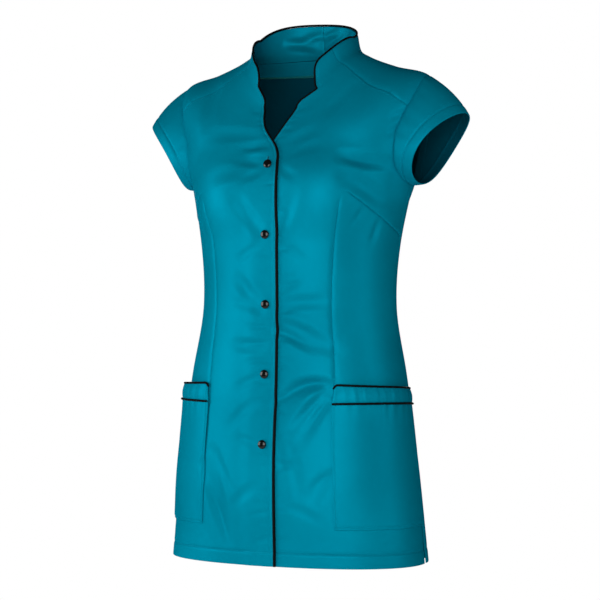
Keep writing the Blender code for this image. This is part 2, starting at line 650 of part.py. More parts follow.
def make_sleeve(side, cloth_surface, collection):
    name = "left" if side > 0 else "right"
    rings = sleeve_rings(side)
    closed = np.concatenate([rings, rings[:, :1]], axis=1)
    add_shell(f"sleeve_{name}", [closed[:, ::-side]], cloth_surface, collection)


def make_button(number, height, surface, collection):
    """A domed button on a short shank, turned about its own axis and set on the over front."""
    angle, level = locate(0.0, height)
    normal = outward(angle, level)
    place = cloth(angle, level, WALL + GAP + WALL + GAP)
    mesh = bpy.data.meshes.new(f"button_{number}")
    shape = bmesh.new()
    profile = [(0.0, BUTTON_DOME)]
    for step in range(1, BUTTON_STEPS + 1):
        turn = math.pi / 2 * step / BUTTON_STEPS
        profile.append((BUTTON_RADIUS * math.sin(turn),
                        BUTTON_RIM + (BUTTON_DOME - BUTTON_RIM) * math.cos(turn)))
    profile += [(BUTTON_RADIUS - BUTTON_SHANK_HEIGHT / 2, BUTTON_SHANK_HEIGHT),
                (BUTTON_SHANK_RADIUS, BUTTON_SHANK_HEIGHT), (BUTTON_SHANK_RADIUS, 0.0), (0.0, 0.0)]
    verts = [shape.verts.new((radius, 0, up)) for radius, up in profile]
    for start, end in zip(verts[:-1], verts[1:]):
        shape.edges.new((start, end))
    shape.to_mesh(mesh)
    shape.free()
    made = add_object(f"button_{number}", mesh, surface, collection)
    turned = made.modifiers.new("turned", "SCREW")
    turned.steps = turned.render_steps = BUTTON_SIDES
    turned.use_merge_vertices = True
    turned.merge_threshold = 0.00001
    made.location = place
    made.rotation_mode = "QUATERNION"
    made.rotation_quaternion = Vector(normal).to_track_quat("Z", "Y")


def main():
    for leftover in list(bpy.data.objects):
        bpy.data.objects.remove(leftover, do_unlink=True)
    collection = bpy.data.collections.new("short_sleeved_tunic")
    bpy.context.scene.collection.children.link(collection)
    satin = material("teal satin", TEAL, 0.45, sheen=0.3)
    edging = material("black piping", BLACK, 0.5)
    gloss = material("black button", BLACK, 0.12)

    points, normals, line = make_front("front_left", satin, collection, side=1, lap=LAP_UNDER)
    make_pocket(1, points, normals, satin, edging, collection)
    above_crossing = int(np.argmax(line[:, 0] > UNDER_PIPING_FROM))
    add_piping("piping_left", line[above_crossing:], edging, collection)
    points, normals, line = make_front("front_right", satin, collection, side=-1, lap=LAP_OVER)
    make_pocket(-1, points, normals, satin, edging, collection)
    add_piping("piping_right", line, edging, collection)
    make_facings(*make_back(satin, edging, collection), satin, collection)
    make_sleeve(1, satin, collection)
    make_sleeve(-1, satin, collection)
    for number, height in enumerate(BUTTON_HEIGHTS, start=1):
        make_button(number, height, gloss, collection)


main()
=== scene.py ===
# %% [markdown]
# # A short-sleeved work tunic in teal satin
#
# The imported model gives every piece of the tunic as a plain, coarse wall. This lesson makes the same pieces
# again as cloth: thin shells on the same figure, with the folds, darts, seams, stitches and pipings that the
# garment has. Each step is one cell, and each cell says first what it makes and why it is made that way.

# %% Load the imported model
import functools
import math

import bmesh
import bpy
import numpy as np
from mathutils import Matrix, Vector


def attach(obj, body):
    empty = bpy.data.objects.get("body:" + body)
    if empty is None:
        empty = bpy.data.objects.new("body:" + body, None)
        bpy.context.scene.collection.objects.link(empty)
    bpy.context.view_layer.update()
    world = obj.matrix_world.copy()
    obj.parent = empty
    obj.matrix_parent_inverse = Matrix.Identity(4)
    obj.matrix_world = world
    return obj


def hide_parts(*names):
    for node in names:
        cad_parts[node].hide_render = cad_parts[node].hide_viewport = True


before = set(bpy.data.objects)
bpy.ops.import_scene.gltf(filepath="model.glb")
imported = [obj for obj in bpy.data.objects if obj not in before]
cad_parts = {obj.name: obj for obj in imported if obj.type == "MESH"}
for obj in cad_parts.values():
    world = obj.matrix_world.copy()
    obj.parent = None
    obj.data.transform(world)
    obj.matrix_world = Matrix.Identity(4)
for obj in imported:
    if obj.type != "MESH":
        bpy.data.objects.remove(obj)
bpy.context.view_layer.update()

# %% [markdown]
# ## Colours and nodes
#
# Colours are written as sRGB hex, the way a dyer's chart or a picture gives them, and turned to linear light
# once. One helper adds a shader node, sets its values and links its inputs; the others add what every
# material has.

# %% Helpers for materials
def linear(colour):
    """An sRGB hex string as a linear colour with alpha."""
    parts = [int(colour[i:i + 2], 16) / 255 for i in (1, 3, 5)]
    return tuple(p / 12.92 if p <= 0.04045 else ((p + 0.055) / 1.055) ** 2.4 for p in parts) + (1.0,)


def add_node(tree, kind, inputs=None, **settings):
    """A shader node; an input that is another node's output is linked to it."""
    made = tree.nodes.new("ShaderNode" + kind)
    for name, value in settings.items():
        setattr(made, name, value)
    for name, value in (inputs or {}).items():
        if isinstance(value, bpy.types.NodeSocket):
            tree.links.new(value, made.inputs[name])
        else:
            made.inputs[name].default_value = value
    return made


def new_material(name):
    made = bpy.data.materials.new(name)
    made.use_nodes = True
    made.node_tree.nodes.clear()
    return made, made.node_tree


def noise(tree, place, size, detail, roughness=0.5):
    """Noise whose largest spots are about so many metres wide."""
    return add_node(tree, "TexNoise", {"Vector": place, "Scale": 1 / size, "Detail": detail,
                                       "Roughness": roughness}).outputs["Fac"]


def add_surface(tree, inputs):
    """A principled shader as the material's surface."""
    shader = add_node(tree, "BsdfPrincipled", inputs)
    add_node(tree, "OutputMaterial", {"Surface": shader.outputs["BSDF"]})


# %% [markdown]
# ## The studio
#
# A garment for a catalogue is photographed level with its middle, from a few metres away, against white. A
# long lens keeps the collar and the hem in proportion. The camera stands a little to the wearer's left.

# %% Camera
CAMERA_AZIMUTH = 26.0      # degrees round from the front, towards the wearer's left
CAMERA_DISTANCE = 3.0
CAMERA_LENS, SENSOR_WIDTH = 124.2, 36.0     # millimetres
MIDDLE_HEIGHT = -0.355


def set_up(name, data, azimuth, height, distance):
    """Stands a camera or a lamp somewhere round the tunic and turns it to the tunic's middle."""
    made = bpy.data.objects.new(name, data)
    bpy.context.scene.collection.objects.link(made)
    turn = math.radians(azimuth)
    made.location = (distance * math.sin(turn), -distance * math.cos(turn), height)
    made.rotation_mode = "QUATERNION"
    made.rotation_quaternion = (Vector((0, 0, MIDDLE_HEIGHT)) - made.location).to_track_quat("-Z", "Y")
    return made


camera = set_up("camera", bpy.data.cameras.new("camera"), CAMERA_AZIMUTH, MIDDLE_HEIGHT, CAMERA_DISTANCE)
camera.data.lens = CAMERA_LENS
camera.data.sensor_width = SENSOR_WIDTH
bpy.context.scene.camera = camera
print("camera at", [round(x, 3) for x in camera.location])

# %% [markdown]
# ## Light
#
# Satin shows its folds by the soft edge of a broad highlight, so the lamps are large. Two of nearly the same
# strength light the front, at the height of the bust, and a weaker one the wearer's left side. The one
# behind lights the back. The white room is bright to the camera and dim to the cloth, which keeps the folds'
# shadows.

# %% Lamps and room
LAMPS = {
    # name: (azimuth, height, distance, size, watts)
    "front": (14.0, -0.20, 2.0, 1.2, 22.0),
    "left of the camera": (-54.0, -0.20, 2.0, 1.1, 19.0),
    "right of the camera": (80.0, -0.15, 2.2, 0.9, 8.5),
    "behind": (206.0, -0.10, 2.4, 1.4, 34.0),
}
for name, (azimuth, height, distance, size, watts) in LAMPS.items():
    lamp = set_up(name, bpy.data.lights.new(name, "AREA"), azimuth, height, distance)
    lamp.data.size = size
    lamp.data.energy = watts
    lamp.visible_camera = False

ROOM_TO_CAMERA, ROOM_TO_CLOTH = 1.0, 0.09
world = bpy.data.worlds.new("white room")
bpy.context.scene.world = world
world.use_nodes = True
room = world.node_tree
room.nodes.clear()
ray = add_node(room, "LightPath")
blend = add_node(room, "MapRange", {"Value": ray.outputs["Is Camera Ray"], "To Min": ROOM_TO_CLOTH,
                                    "To Max": ROOM_TO_CAMERA})
glow = add_node(room, "Background", {"Color": (1, 1, 1, 1), "Strength": blend.outputs["Result"]})
add_node(room, "OutputWorld", {"Surface": glow.outputs["Background"]})
bpy.context.scene.view_settings.view_transform = "Standard"
print("lamps:", ", ".join(LAMPS))

# %% [markdown]
# ## Satin
#
# The cloth is a cotton and polyester satin: its face is almost all warp threads, which lie side by side and
# give a broad, soft highlight, crossed by a very fine twill line. The threads follow the cloth and not the
# room, so every piece carries an attribute called thread, its own measure across and along the weave in
# metres. The real yarns are about 0.25 mm apart; here the twill line is drawn at 0.7 mm so that it shows
# close up, and softly, so that it vanishes from a step away. Part of the light is mirrored in the thread's
# own colour, and none as from a clear coat, so the highlights stay teal. The reverse is duller, and its
# colour
# is darker still as painted shade: it stands for the shade inside the tunic, on the inner face of every
# piece and on the facings.

# %% Satin, both faces
THREAD = "thread"              # the attribute that holds the thread measure
WAVE_PERIOD = math.pi / 10     # a wave texture at scale 1 repeats over this length
TWILL_PITCH, TWILL_SLANT = 0.0007, 63.0
SLUB_SIZE, SHADE_SIZE, RUMPLE_SIZE = 0.0022, 0.14, 0.030
FINE_SHARE = 0.22              # how much of the colour's change comes from the twill and the slubs
DARK_END, LIGHT_END = 0.30, 0.70
SLUB_SMOOTHER, SLUB_ROUGHER = 0.05, 0.06
RUMPLE_HEIGHT = 0.0006
SHEEN, SHEEN_COLOUR = 0.02, "#009ab5"
LUSTRE, LUSTRE_EDGE = 0.26, "#007c96"     # the share that is mirrored, and its colour at a grazing angle


def thread_waves(tree, slant, pitch, shape):
    """The thread measure, and waves across it at a slant in degrees and a pitch in metres."""
    thread = add_node(tree, "Attribute", attribute_name=THREAD).outputs["Vector"]
    turned = add_node(tree, "Mapping", {"Vector": thread, "Rotation": (0, 0, math.radians(slant))})
    waves = add_node(tree, "TexWave", {"Vector": turned.outputs["Vector"], "Scale": WAVE_PERIOD / pitch,
                                       **shape})
    return thread, waves.outputs["Fac"]


def make_satin(name, light, dark, roughness, twill_height):
    made, tree = new_material(name)
    thread, twill = thread_waves(tree, TWILL_SLANT, TWILL_PITCH,
                                 {"Distortion": 1.2, "Detail": 1.0, "Detail Scale": 0.4})
    place = add_node(tree, "TexCoord").outputs["Object"]
    slub = noise(tree, thread, SLUB_SIZE, 3.0)
    shade = noise(tree, place, SHADE_SIZE, 2.0)
    rumple = noise(tree, place, RUMPLE_SIZE, 4.0, 0.45)
    fine = add_node(tree, "Math", {0: twill, 1: slub}, operation="MULTIPLY").outputs["Value"]
    tone = add_node(tree, "Mix", {"Factor": FINE_SHARE, "A": shade, "B": fine})
    colour = add_node(tree, "ValToRGB", {"Fac": tone.outputs["Result"]})
    for element, at, shown in zip(colour.color_ramp.elements, (DARK_END, LIGHT_END), (dark, light)):
        element.position, element.color = at, linear(shown)
    rough = add_node(tree, "MapRange", {"Value": slub, "To Min": roughness - SLUB_SMOOTHER,
                                        "To Max": roughness + SLUB_ROUGHER})
    soft = add_node(tree, "Bump", {"Height": rumple, "Strength": 0.5, "Distance": RUMPLE_HEIGHT})
    weave = add_node(tree, "Bump", {"Height": fine, "Strength": 0.6, "Distance": twill_height,
                                    "Normal": soft.outputs["Normal"]})
    add_surface(tree, {
        "Base Color": colour.outputs["Color"], "Roughness": rough.outputs["Result"],
        "Normal": weave.outputs["Normal"], "Sheen Weight": SHEEN, "Sheen Roughness": 0.4,
        "Sheen Tint": linear(SHEEN_COLOUR), "Metallic": LUSTRE, "Specular IOR Level": 0.0,
        "Specular Tint": linear(LUSTRE_EDGE)})
    return made


satin = make_satin("satin_face", "#008da8", "#007c95", 0.47, 0.00006)
# The reverse is duller by its weave, and its colour is darkened further as painted shade for the tunic's
# inside.
reverse_with_painted_shade = make_satin("satin_reverse", "#004e61", "#004253", 0.60, 0.00009)
print("cloth:", satin.name, "and", reverse_with_painted_shade.name)

# %% [markdown]
# ## Piping, thread and button
#
# The piping is a bias strip of black cotton wrapped on a cord: matt, with the strip's weave running round it
# at a slant. The sewing thread is polyester, dyed to the cloth. The buttons are polished polyester resin:
# almost black, with the sharp reflection of a hard, smooth dome and faint scratches.

# %% Piping, thread and button
FUZZ_LIGHTER = 1.6


def make_trim(name, colour, roughness, sheen, pitch, height, slant):
    made, tree = new_material(name)
    thread, rib = thread_waves(tree, slant, pitch, {"Distortion": 0.8})
    fuzz = noise(tree, thread, 3 * pitch, 3.0)
    lighter = tuple(FUZZ_LIGHTER * c for c in linear(colour)[:3]) + (1.0,)
    tone = add_node(tree, "Mix", {"Factor": fuzz, "A": linear(colour), "B": lighter}, data_type="RGBA")
    bump = add_node(tree, "Bump", {"Height": rib, "Strength": 0.7, "Distance": height})
    add_surface(tree, {
        "Base Color": tone.outputs[2], "Roughness": roughness, "Normal": bump.outputs["Normal"],
        "Sheen Weight": sheen, "Sheen Roughness": 0.5, "Specular IOR Level": 0.08})
    return made


black_piping = make_trim("bias_piping", "#020303", 0.60, 0.0, 0.0006, 0.00005, 45)
sewing_thread = make_trim("sewing_thread", "#067f98", 0.55, 0.03, 0.0004, 0.00004, 30)
overlock_thread = make_trim("overlock_thread", "#0a6a66", 0.60, 0.10, 0.0004, 0.00004, 30)

SCRATCH_SIZE, RESIN_IOR = 0.0009, 1.42
button_gloss, tree = new_material("polished_resin")
scratch = noise(tree, add_node(tree, "TexCoord").outputs["Object"], SCRATCH_SIZE, 4.0)
rough, tone = (add_node(tree, "MapRange", {"Value": scratch, "To Min": low, "To Max": high}).outputs["Result"]
               for low, high in ((0.08, 0.18), (0.001, 0.003)))
add_surface(tree, {"Base Color": tone, "Roughness": rough, "IOR": RESIN_IOR})
print("trims:", black_piping.name, sewing_thread.name, overlock_thread.name, button_gloss.name)

# %% [markdown]
# ## The floor
#
# The tunic hangs in the air as if worn, so the floor lies well below its hem, where a wearer would stand. It
# glows white to the camera, so that it meets the room without a line.

# %% Floor
FLOOR_HEIGHT, FLOOR_RADIUS = -1.20, 14.0
floor_white, tree = new_material("pale_floor")
shader = add_node(tree, "BsdfPrincipled", {"Base Color": linear("#f4f4f3"), "Roughness": 0.8})
glow = add_node(tree, "Emission", {"Strength": 1.0})
seen = add_node(tree, "LightPath")
cover = add_node(tree, "MixShader", {0: seen.outputs["Is Camera Ray"], 1: shader.outputs["BSDF"],
                                     2: glow.outputs["Emission"]})
add_node(tree, "OutputMaterial", {"Surface": cover.outputs["Shader"]})
shape = bmesh.new()
bmesh.ops.create_circle(shape, cap_ends=True, segments=96, radius=FLOOR_RADIUS,
                        matrix=Matrix.Translation((0, 0, FLOOR_HEIGHT)))
mesh = bpy.data.meshes.new("floor")
shape.to_mesh(mesh)
shape.free()
mesh.materials.append(floor_white)
floor = bpy.data.objects.new("floor", mesh)
bpy.context.scene.collection.objects.link(floor)
print("floor at", FLOOR_HEIGHT)

# %% [markdown]
# ## The figure under the cloth
#
# A tunic takes its shape from its cut and from a general figure. The figure is a stack of rings, the same
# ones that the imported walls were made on, so the cloth lies exactly where those walls are. A place on it is
# an angle round the body, 0 at the centre front and 90 at the wearer's left side, and a level, which counts
# up from the hem, over the shoulder and up the collar. All sizes are in metres.

# %% Rings
HEM, SLIT_TOP, WAIST, UNDERARM = -0.727, -0.612, -0.362, -0.190
POCKET_BOTTOM, BAND_BOTTOM, POCKET_TOP = -0.673, -0.500, -0.472
SHOULDER_TIP, FACING_BOTTOM, NECK_BASE, COLLAR_FOOT, COLLAR_TOP = -0.037, 0.008, 0.060, 0.071, 0.090
SIDE, CENTRE_BACK, FULL_TURN = 90.0, 180.0, 360.0
COLLAR_LIFT, COLLAR_LIFT_AT = 0.0065, 235.0

RING_COLUMNS = ("level", "z_front", "z_side", "z_back", "half_width", "y_front", "y_side", "y_back",
                "squareness", "back_rise")
RINGS = {
    "hem": (HEM, HEM, HEM, HEM, 0.1920, -0.115, -0.007, 0.125, 2.25, 2.0),
    "hip": (-0.580, -0.580, -0.580, -0.580, 0.1770, -0.118, -0.007, 0.115, 2.2, 2.0),
    "high hip": (-0.463, -0.463, -0.463, -0.463, 0.1610, -0.110, -0.005, 0.104, 2.15, 2.0),
    "waist": (WAIST, WAIST, WAIST, WAIST, 0.1445, -0.108, 0.001, 0.093, 2.1, 2.0),
    "ribs": (-0.275, -0.275, -0.275, -0.275, 0.1485, -0.109, 0.004, 0.100, 2.15, 2.0),
    "bust": (-0.220, -0.220, -0.220, -0.220, 0.1580, -0.109, 0.006, 0.110, 2.2, 2.0),
    "underarm": (UNDERARM, -0.195, UNDERARM, -0.187, 0.1650, -0.107, 0.008, 0.114, 2.2, 2.0),
    "across chest": (-0.1135, -0.158, -0.1135, -0.120, 0.1850, -0.098, 0.016, 0.119, 2.15, 2.0),
    "shoulder tip": (SHOULDER_TIP, -0.125, SHOULDER_TIP, -0.062, 0.1890, -0.086, 0.028, 0.115, 2.1, 2.0),
    "mid shoulder": (0.013, -0.102, -0.0215, -0.022, 0.1390, -0.076, 0.026, 0.104, 2.0, 2.0),
    "neck base": (NECK_BASE, -0.081, -0.0036, 0.003, 0.0940, -0.068, 0.023, 0.091, 2.0, 2.0),
    "collar foot": (COLLAR_FOOT, -0.072, 0.0025, 0.0115, 0.0830, -0.067, 0.023, 0.086, 2.0, 1.6),
    "collar top": (COLLAR_TOP, -0.0439, 0.0225, 0.050, 0.0760, -0.065, 0.023, 0.080, 2.0, 1.1),
}
STEEPEST = 3.0             # how much steeper than its flatter side a curve may pass a point
FRONT_RISE = 2.0           # how late a ring's height changes from its side to its front
COLLAR_SHARPNESS = 4       # how narrow the part of the collar is that stands higher


@functools.cache
def curve_through(knots, values, loose):
    """A table's points as arrays, with slopes for a smooth curve; unless loose, it hardly overshoots."""
    knots, values = np.array(knots), np.array(values)
    widths = np.diff(knots)
    rises = np.diff(values) / widths
    slopes = np.concatenate([rises[:1], np.zeros(len(rises) - 1), rises[-1:]])
    for i in range(1, len(rises)):
        parabola = (rises[i - 1] * widths[i] + rises[i] * widths[i - 1]) / (widths[i - 1] + widths[i])
        steepest = STEEPEST * min(abs(rises[i - 1]), abs(rises[i]))
        slopes[i] = parabola if loose else np.clip(parabola, -steepest, steepest)
    return knots, values, widths, slopes


def smooth(at, knots, values, loose=False):
    """The smooth curve through a table's points, read at any place or places."""
    knots, values, widths, slopes = curve_through(tuple(knots), tuple(values), loose)
    at = np.clip(at, knots[0], knots[-1])
    span = np.clip(np.searchsorted(knots, at, side="right") - 1, 0, len(widths) - 1)
    s = (at - knots[span]) / widths[span]
    start, end = values[span], values[span + 1]
    start_slope, end_slope = slopes[span] * widths[span], slopes[span + 1] * widths[span]
    return (start * (1 + 2 * s) * (1 - s) ** 2 + end * s * s * (3 - 2 * s)
            + start_slope * s * (1 - s) ** 2 + end_slope * s * s * (s - 1))


def column(table, columns, name):
    return [row[columns.index(name)] for row in table.values()]


def ring(level, name):
    return smooth(level, column(RINGS, RING_COLUMNS, "level"), column(RINGS, RING_COLUMNS, name), loose=True)


def roundness(angle, level):
    """How far a superellipse's point lies inside the corner of its box: 1 on an ellipse."""
    power = ring(level, "squareness")
    turn = np.radians(angle)
    return (np.abs(np.sin(turn)) ** power + np.abs(np.cos(turn)) ** power) ** (1 / power)


def form(angle, level):
    """The figure's surface, as an array of points."""
    angle, level = np.broadcast_arrays(np.asarray(angle, float), np.asarray(level, float))
    turn = np.radians(angle)
    ahead = np.cos(turn)
    front = ahead > 0
    inset = roundness(angle, level)
    y_side, z_side = ring(level, "y_side"), ring(level, "z_side")
    y_end = np.where(front, ring(level, "y_front"), ring(level, "y_back"))
    z_end = np.where(front, ring(level, "z_front"), ring(level, "z_back"))
    x = ring(level, "half_width") * np.sin(turn) / inset
    y = y_side + (y_end - y_side) * np.abs(ahead) / inset
    rise = np.where(front, FRONT_RISE, ring(level, "back_rise"))
    z = z_side + (z_end - z_side) * np.abs(ahead) ** rise
    up_collar = np.clip((level - NECK_BASE) / (COLLAR_TOP - NECK_BASE), 0, 1)
    toward = np.clip(np.cos(np.radians(angle - COLLAR_LIFT_AT)), 0, 1)
    z += COLLAR_LIFT * up_collar * toward ** COLLAR_SHARPNESS
    return np.stack([x, y, z], axis=-1)


def unit(vectors):
    """The same directions, each one metre long."""
    return vectors / np.linalg.norm(vectors, axis=-1, keepdims=True)


def outward(angle, level, step=0.5, rise=0.0015):
    """The directions that face out of the figure."""
    round_body = form(angle + step, level) - form(angle - step, level)
    up_body = form(angle, level + rise) - form(angle, level - rise)
    return unit(np.cross(round_body, up_body))


print("bust round the figure:", round(float(np.linalg.norm(np.diff(
    form(np.linspace(0, FULL_TURN, 181), -0.22), axis=0), axis=1).sum()), 3), "m")

# %% [markdown]
# ## Finding a place
#
# Seams and folds are easiest to give by their real distances across and up. The level and angle of such a
# place are found by halving, because the rings tilt forward over the bust and the shoulder.

# %% Places by distance
ROUNDS, HALVINGS = 8, 24


def angle_across(across, level, back=False):
    """The angle at which a level's ring is so far across."""
    angle = np.zeros(np.broadcast(across, level).shape)
    for _ in range(ROUNDS):
        share = across * roundness(angle, level) / ring(level, "half_width")
        angle = np.degrees(np.arcsin(np.clip(share, -1, 1)))
    return CENTRE_BACK - angle if back else angle


def locate(across, height, back=False):
    """The angle and level of places given by their real distances across and up, by halving."""
    across, height = np.broadcast_arrays(np.asarray(across, float), np.asarray(height, float))
    low, high = np.full(across.shape, HEM), np.full(across.shape, COLLAR_TOP)
    for _ in range(HALVINGS):
        level = (low + high) / 2
        too_low = form(angle_across(across, level, back), level)[..., 2] < height
        low, high = np.where(too_low, level, low), np.where(too_low, high, level)
    return angle_across(across, level, back), level


def degrees_for(metres, angle, level):
    """A distance along a ring as an angle."""
    return metres / np.linalg.norm(form(angle + 0.5, level) - form(angle - 0.5, level), axis=-1)


# %% [markdown]
# ## Folds
#
# Worn cloth folds where it is held: at the crossing of the fronts, at each button, at the pockets' corners
# and where the bust fills it. Each fold is a soft trough, or a swell where its depth is negative, from one
# place to another, with its own depth, width and bend. The folds are the large ones, which the walls have
# too. The creases are the smaller ones: those of the front are put where the photograph shows one, and those
# of the back, which it doesn't show, are of the same kind.

# %% Fold tables
FOLD_COLUMNS = ("across", "height", "to_across", "to_height", "depth", "width", "bow")
FOLDS = {
    "left bust dart's fullness": (0.083, -0.200, 0.083, -0.200, -0.011, 0.080, 0.0),
    "right bust dart's fullness": (-0.083, -0.200, -0.083, -0.200, -0.011, 0.080, 0.0),
    "left underarm": (0.166, -0.186, 0.166, -0.186, -0.0060, 0.045, 0.0),
    "right underarm": (-0.166, -0.186, -0.166, -0.186, -0.0060, 0.045, 0.0),
    "from the crossing, upper": (-0.010, -0.139, -0.062, -0.141, 0.0040, 0.014, 0.0),
    "from the crossing, lower": (-0.012, -0.158, -0.066, -0.152, 0.0030, 0.014, 0.0),
    "second button, right": (-0.006, -0.262, -0.052, -0.205, 0.0035, 0.015, 0.0),
    "second button, left": (0.020, -0.262, 0.048, -0.198, 0.0030, 0.015, 0.0),
    "third button, right": (-0.008, -0.366, -0.055, -0.317, 0.0035, 0.016, 0.0),
    "below the third button": (0.022, -0.398, 0.100, -0.428, 0.0040, 0.016, 0.006),
    "waist, right": (-0.008, -0.420, -0.060, -0.418, 0.0030, 0.014, 0.0),
    "left chest": (0.105, -0.156, 0.165, -0.166, 0.0050, 0.015, 0.0),
    "above the left bust dart": (0.110, -0.182, 0.160, -0.222, 0.0040, 0.018, 0.0),
    "left pocket corner, upper": (0.094, -0.478, 0.024, -0.505, 0.0045, 0.016, 0.014),
    "left pocket corner, lower": (0.092, -0.492, 0.050, -0.560, 0.0040, 0.018, 0.008),
    "right pocket corner, lower": (-0.086, -0.570, -0.060, -0.690, 0.0035, 0.016, -0.006),
    "below the right pocket corner": (-0.100, -0.590, -0.074, -0.668, 0.0030, 0.014, 0.0),
    "left hem": (0.092, -0.602, 0.066, -0.640, 0.0030, 0.018, 0.0),
}
BACK_FOLDS = {
    "left small of the back": (0.030, -0.352, 0.105, -0.385, 0.0045, 0.018, 0.008),
    "right small of the back": (-0.024, -0.372, -0.110, -0.398, 0.0045, 0.018, 0.008),
    "left waist": (0.020, -0.318, 0.080, -0.300, 0.0035, 0.016, 0.0),
    "right waist": (-0.030, -0.330, -0.090, -0.322, 0.0035, 0.016, 0.0),
    "left shoulder blade": (0.130, -0.130, 0.095, -0.235, 0.0040, 0.020, 0.0),
    "right shoulder blade": (-0.128, -0.126, -0.098, -0.225, 0.0040, 0.020, 0.0),
    "left skirt": (0.090, -0.500, 0.105, -0.690, 0.0035, 0.022, 0.0),
    "right skirt": (-0.080, -0.520, -0.098, -0.700, 0.0035, 0.022, 0.0),
}
CREASES = {
    "waist, right, upper": (0.008, -0.393, -0.034, -0.393, 0.0016, 0.006, 0.001),
    "waist, right, middle": (0.008, -0.414, -0.036, -0.415, 0.0018, 0.006, -0.001),
    "waist, right, lower": (0.008, -0.440, -0.033, -0.442, 0.0016, 0.006, 0.001),
    "waist, left, upper": (0.022, -0.337, 0.050, -0.333, 0.0018, 0.008, 0.001),
    "waist, left, broad": (0.024, -0.362, 0.090, -0.358, 0.0024, 0.014, 0.002),
    "left of the third button": (0.024, -0.385, 0.070, -0.402, 0.0020, 0.008, 0.001),
    "pocket corner to the placket": (0.090, -0.470, 0.030, -0.478, 0.0024, 0.009, 0.006),
    "pocket corner, steep": (0.094, -0.490, 0.066, -0.540, 0.0021, 0.008, 0.003),
    "placket to the skirt": (0.022, -0.588, 0.050, -0.586, 0.0024, 0.009, 0.002),
    "skirt, left": (0.098, -0.596, 0.074, -0.614, 0.0018, 0.009, 0.001),
    "skirt, left, low": (0.030, -0.640, 0.084, -0.662, 0.0016, 0.010, 0.002),
    "skirt, right, upper": (-0.078, -0.572, -0.050, -0.628, 0.0024, 0.010, 0.0),
    "skirt, right, lower": (-0.093, -0.628, -0.052, -0.708, 0.0024, 0.010, 0.004),
    "placket, low": (0.008, -0.651, -0.020, -0.655, 0.0016, 0.006, 0.0),
    "placket, lowest": (0.008, -0.690, -0.016, -0.693, 0.0013, 0.006, 0.0),
    "right chest, long": (-0.014, -0.128, -0.110, -0.118, 0.0024, 0.016, 0.004),
    "right chest, soft": (-0.020, -0.176, -0.090, -0.186, 0.0021, 0.016, 0.006),
    "left chest, from the V": (0.020, -0.139, 0.070, -0.112, 0.0021, 0.014, 0.0),
    "left chest, lower": (0.022, -0.152, 0.085, -0.140, 0.0018, 0.014, 0.003),
    "left shoulder, from the yoke": (0.100, -0.052, 0.072, -0.098, 0.0021, 0.014, 0.0),
    "left armhole, upper": (0.176, -0.092, 0.160, -0.102, 0.0018, 0.008, 0.0),
    "left armhole, lower": (0.174, -0.112, 0.158, -0.124, 0.0018, 0.008, 0.0),
    "right armhole": (-0.172, -0.120, -0.150, -0.134, 0.0018, 0.010, 0.0),
    "right shoulder": (-0.120, -0.050, -0.116, -0.118, 0.0029, 0.018, 0.0),
    "under the left dart, upper": (0.128, -0.228, 0.116, -0.252, 0.0018, 0.008, 0.0),
    "under the left dart, lower": (0.142, -0.246, 0.134, -0.276, 0.0018, 0.008, 0.0),
    "beside the right dart": (-0.126, -0.222, -0.112, -0.262, 0.0018, 0.009, 0.0),
    "first button, left": (0.022, -0.172, 0.046, -0.186, 0.0018, 0.010, 0.0),
    "first button, right": (-0.008, -0.172, -0.044, -0.190, 0.0018, 0.010, 0.0),
    "fourth button, right": (-0.008, -0.464, -0.050, -0.480, 0.0018, 0.010, 0.002),
    "corner arc, upper": (0.090, -0.474, 0.012, -0.503, 0.0038, 0.011, 0.012),
    "corner arc, lower": (0.090, -0.482, 0.034, -0.552, 0.0033, 0.010, 0.010),
    "corner arc, inner": (0.086, -0.476, 0.046, -0.520, -0.0015, 0.009, 0.008),
    "across the waist, left": (0.018, -0.396, 0.078, -0.428, 0.0034, 0.011, -0.002),
    "under the third button, left": (0.018, -0.376, 0.072, -0.392, -0.0015, 0.010, 0.003),
    "second button, low left": (0.022, -0.278, 0.058, -0.300, 0.0016, 0.009, 0.002),
    "second button, low right": (-0.010, -0.276, -0.050, -0.298, 0.0016, 0.010, -0.002),
    "third button, low right": (-0.010, -0.372, -0.060, -0.356, 0.0018, 0.010, 0.002),
    "crossing, right": (-0.006, -0.146, -0.052, -0.147, -0.0015, 0.007, 0.0),
    "crossing, right, low": (-0.008, -0.168, -0.058, -0.163, 0.0016, 0.009, 0.003),
    "left chest, trough": (0.110, -0.158, 0.152, -0.166, 0.0028, 0.009, -0.002),
    "left skirt, steep": (0.040, -0.560, 0.058, -0.640, 0.0018, 0.012, 0.003),
    "left skirt, by the placket": (0.024, -0.548, 0.034, -0.604, 0.0016, 0.009, 0.0),
    "right hip, slanted": (-0.016, -0.500, -0.060, -0.536, 0.0018, 0.012, 0.003),
    "right hip, low": (-0.012, -0.616, -0.050, -0.646, 0.0016, 0.012, 0.003),
    "fifth button, right": (-0.008, -0.560, -0.044, -0.548, 0.0018, 0.010, 0.002),
}
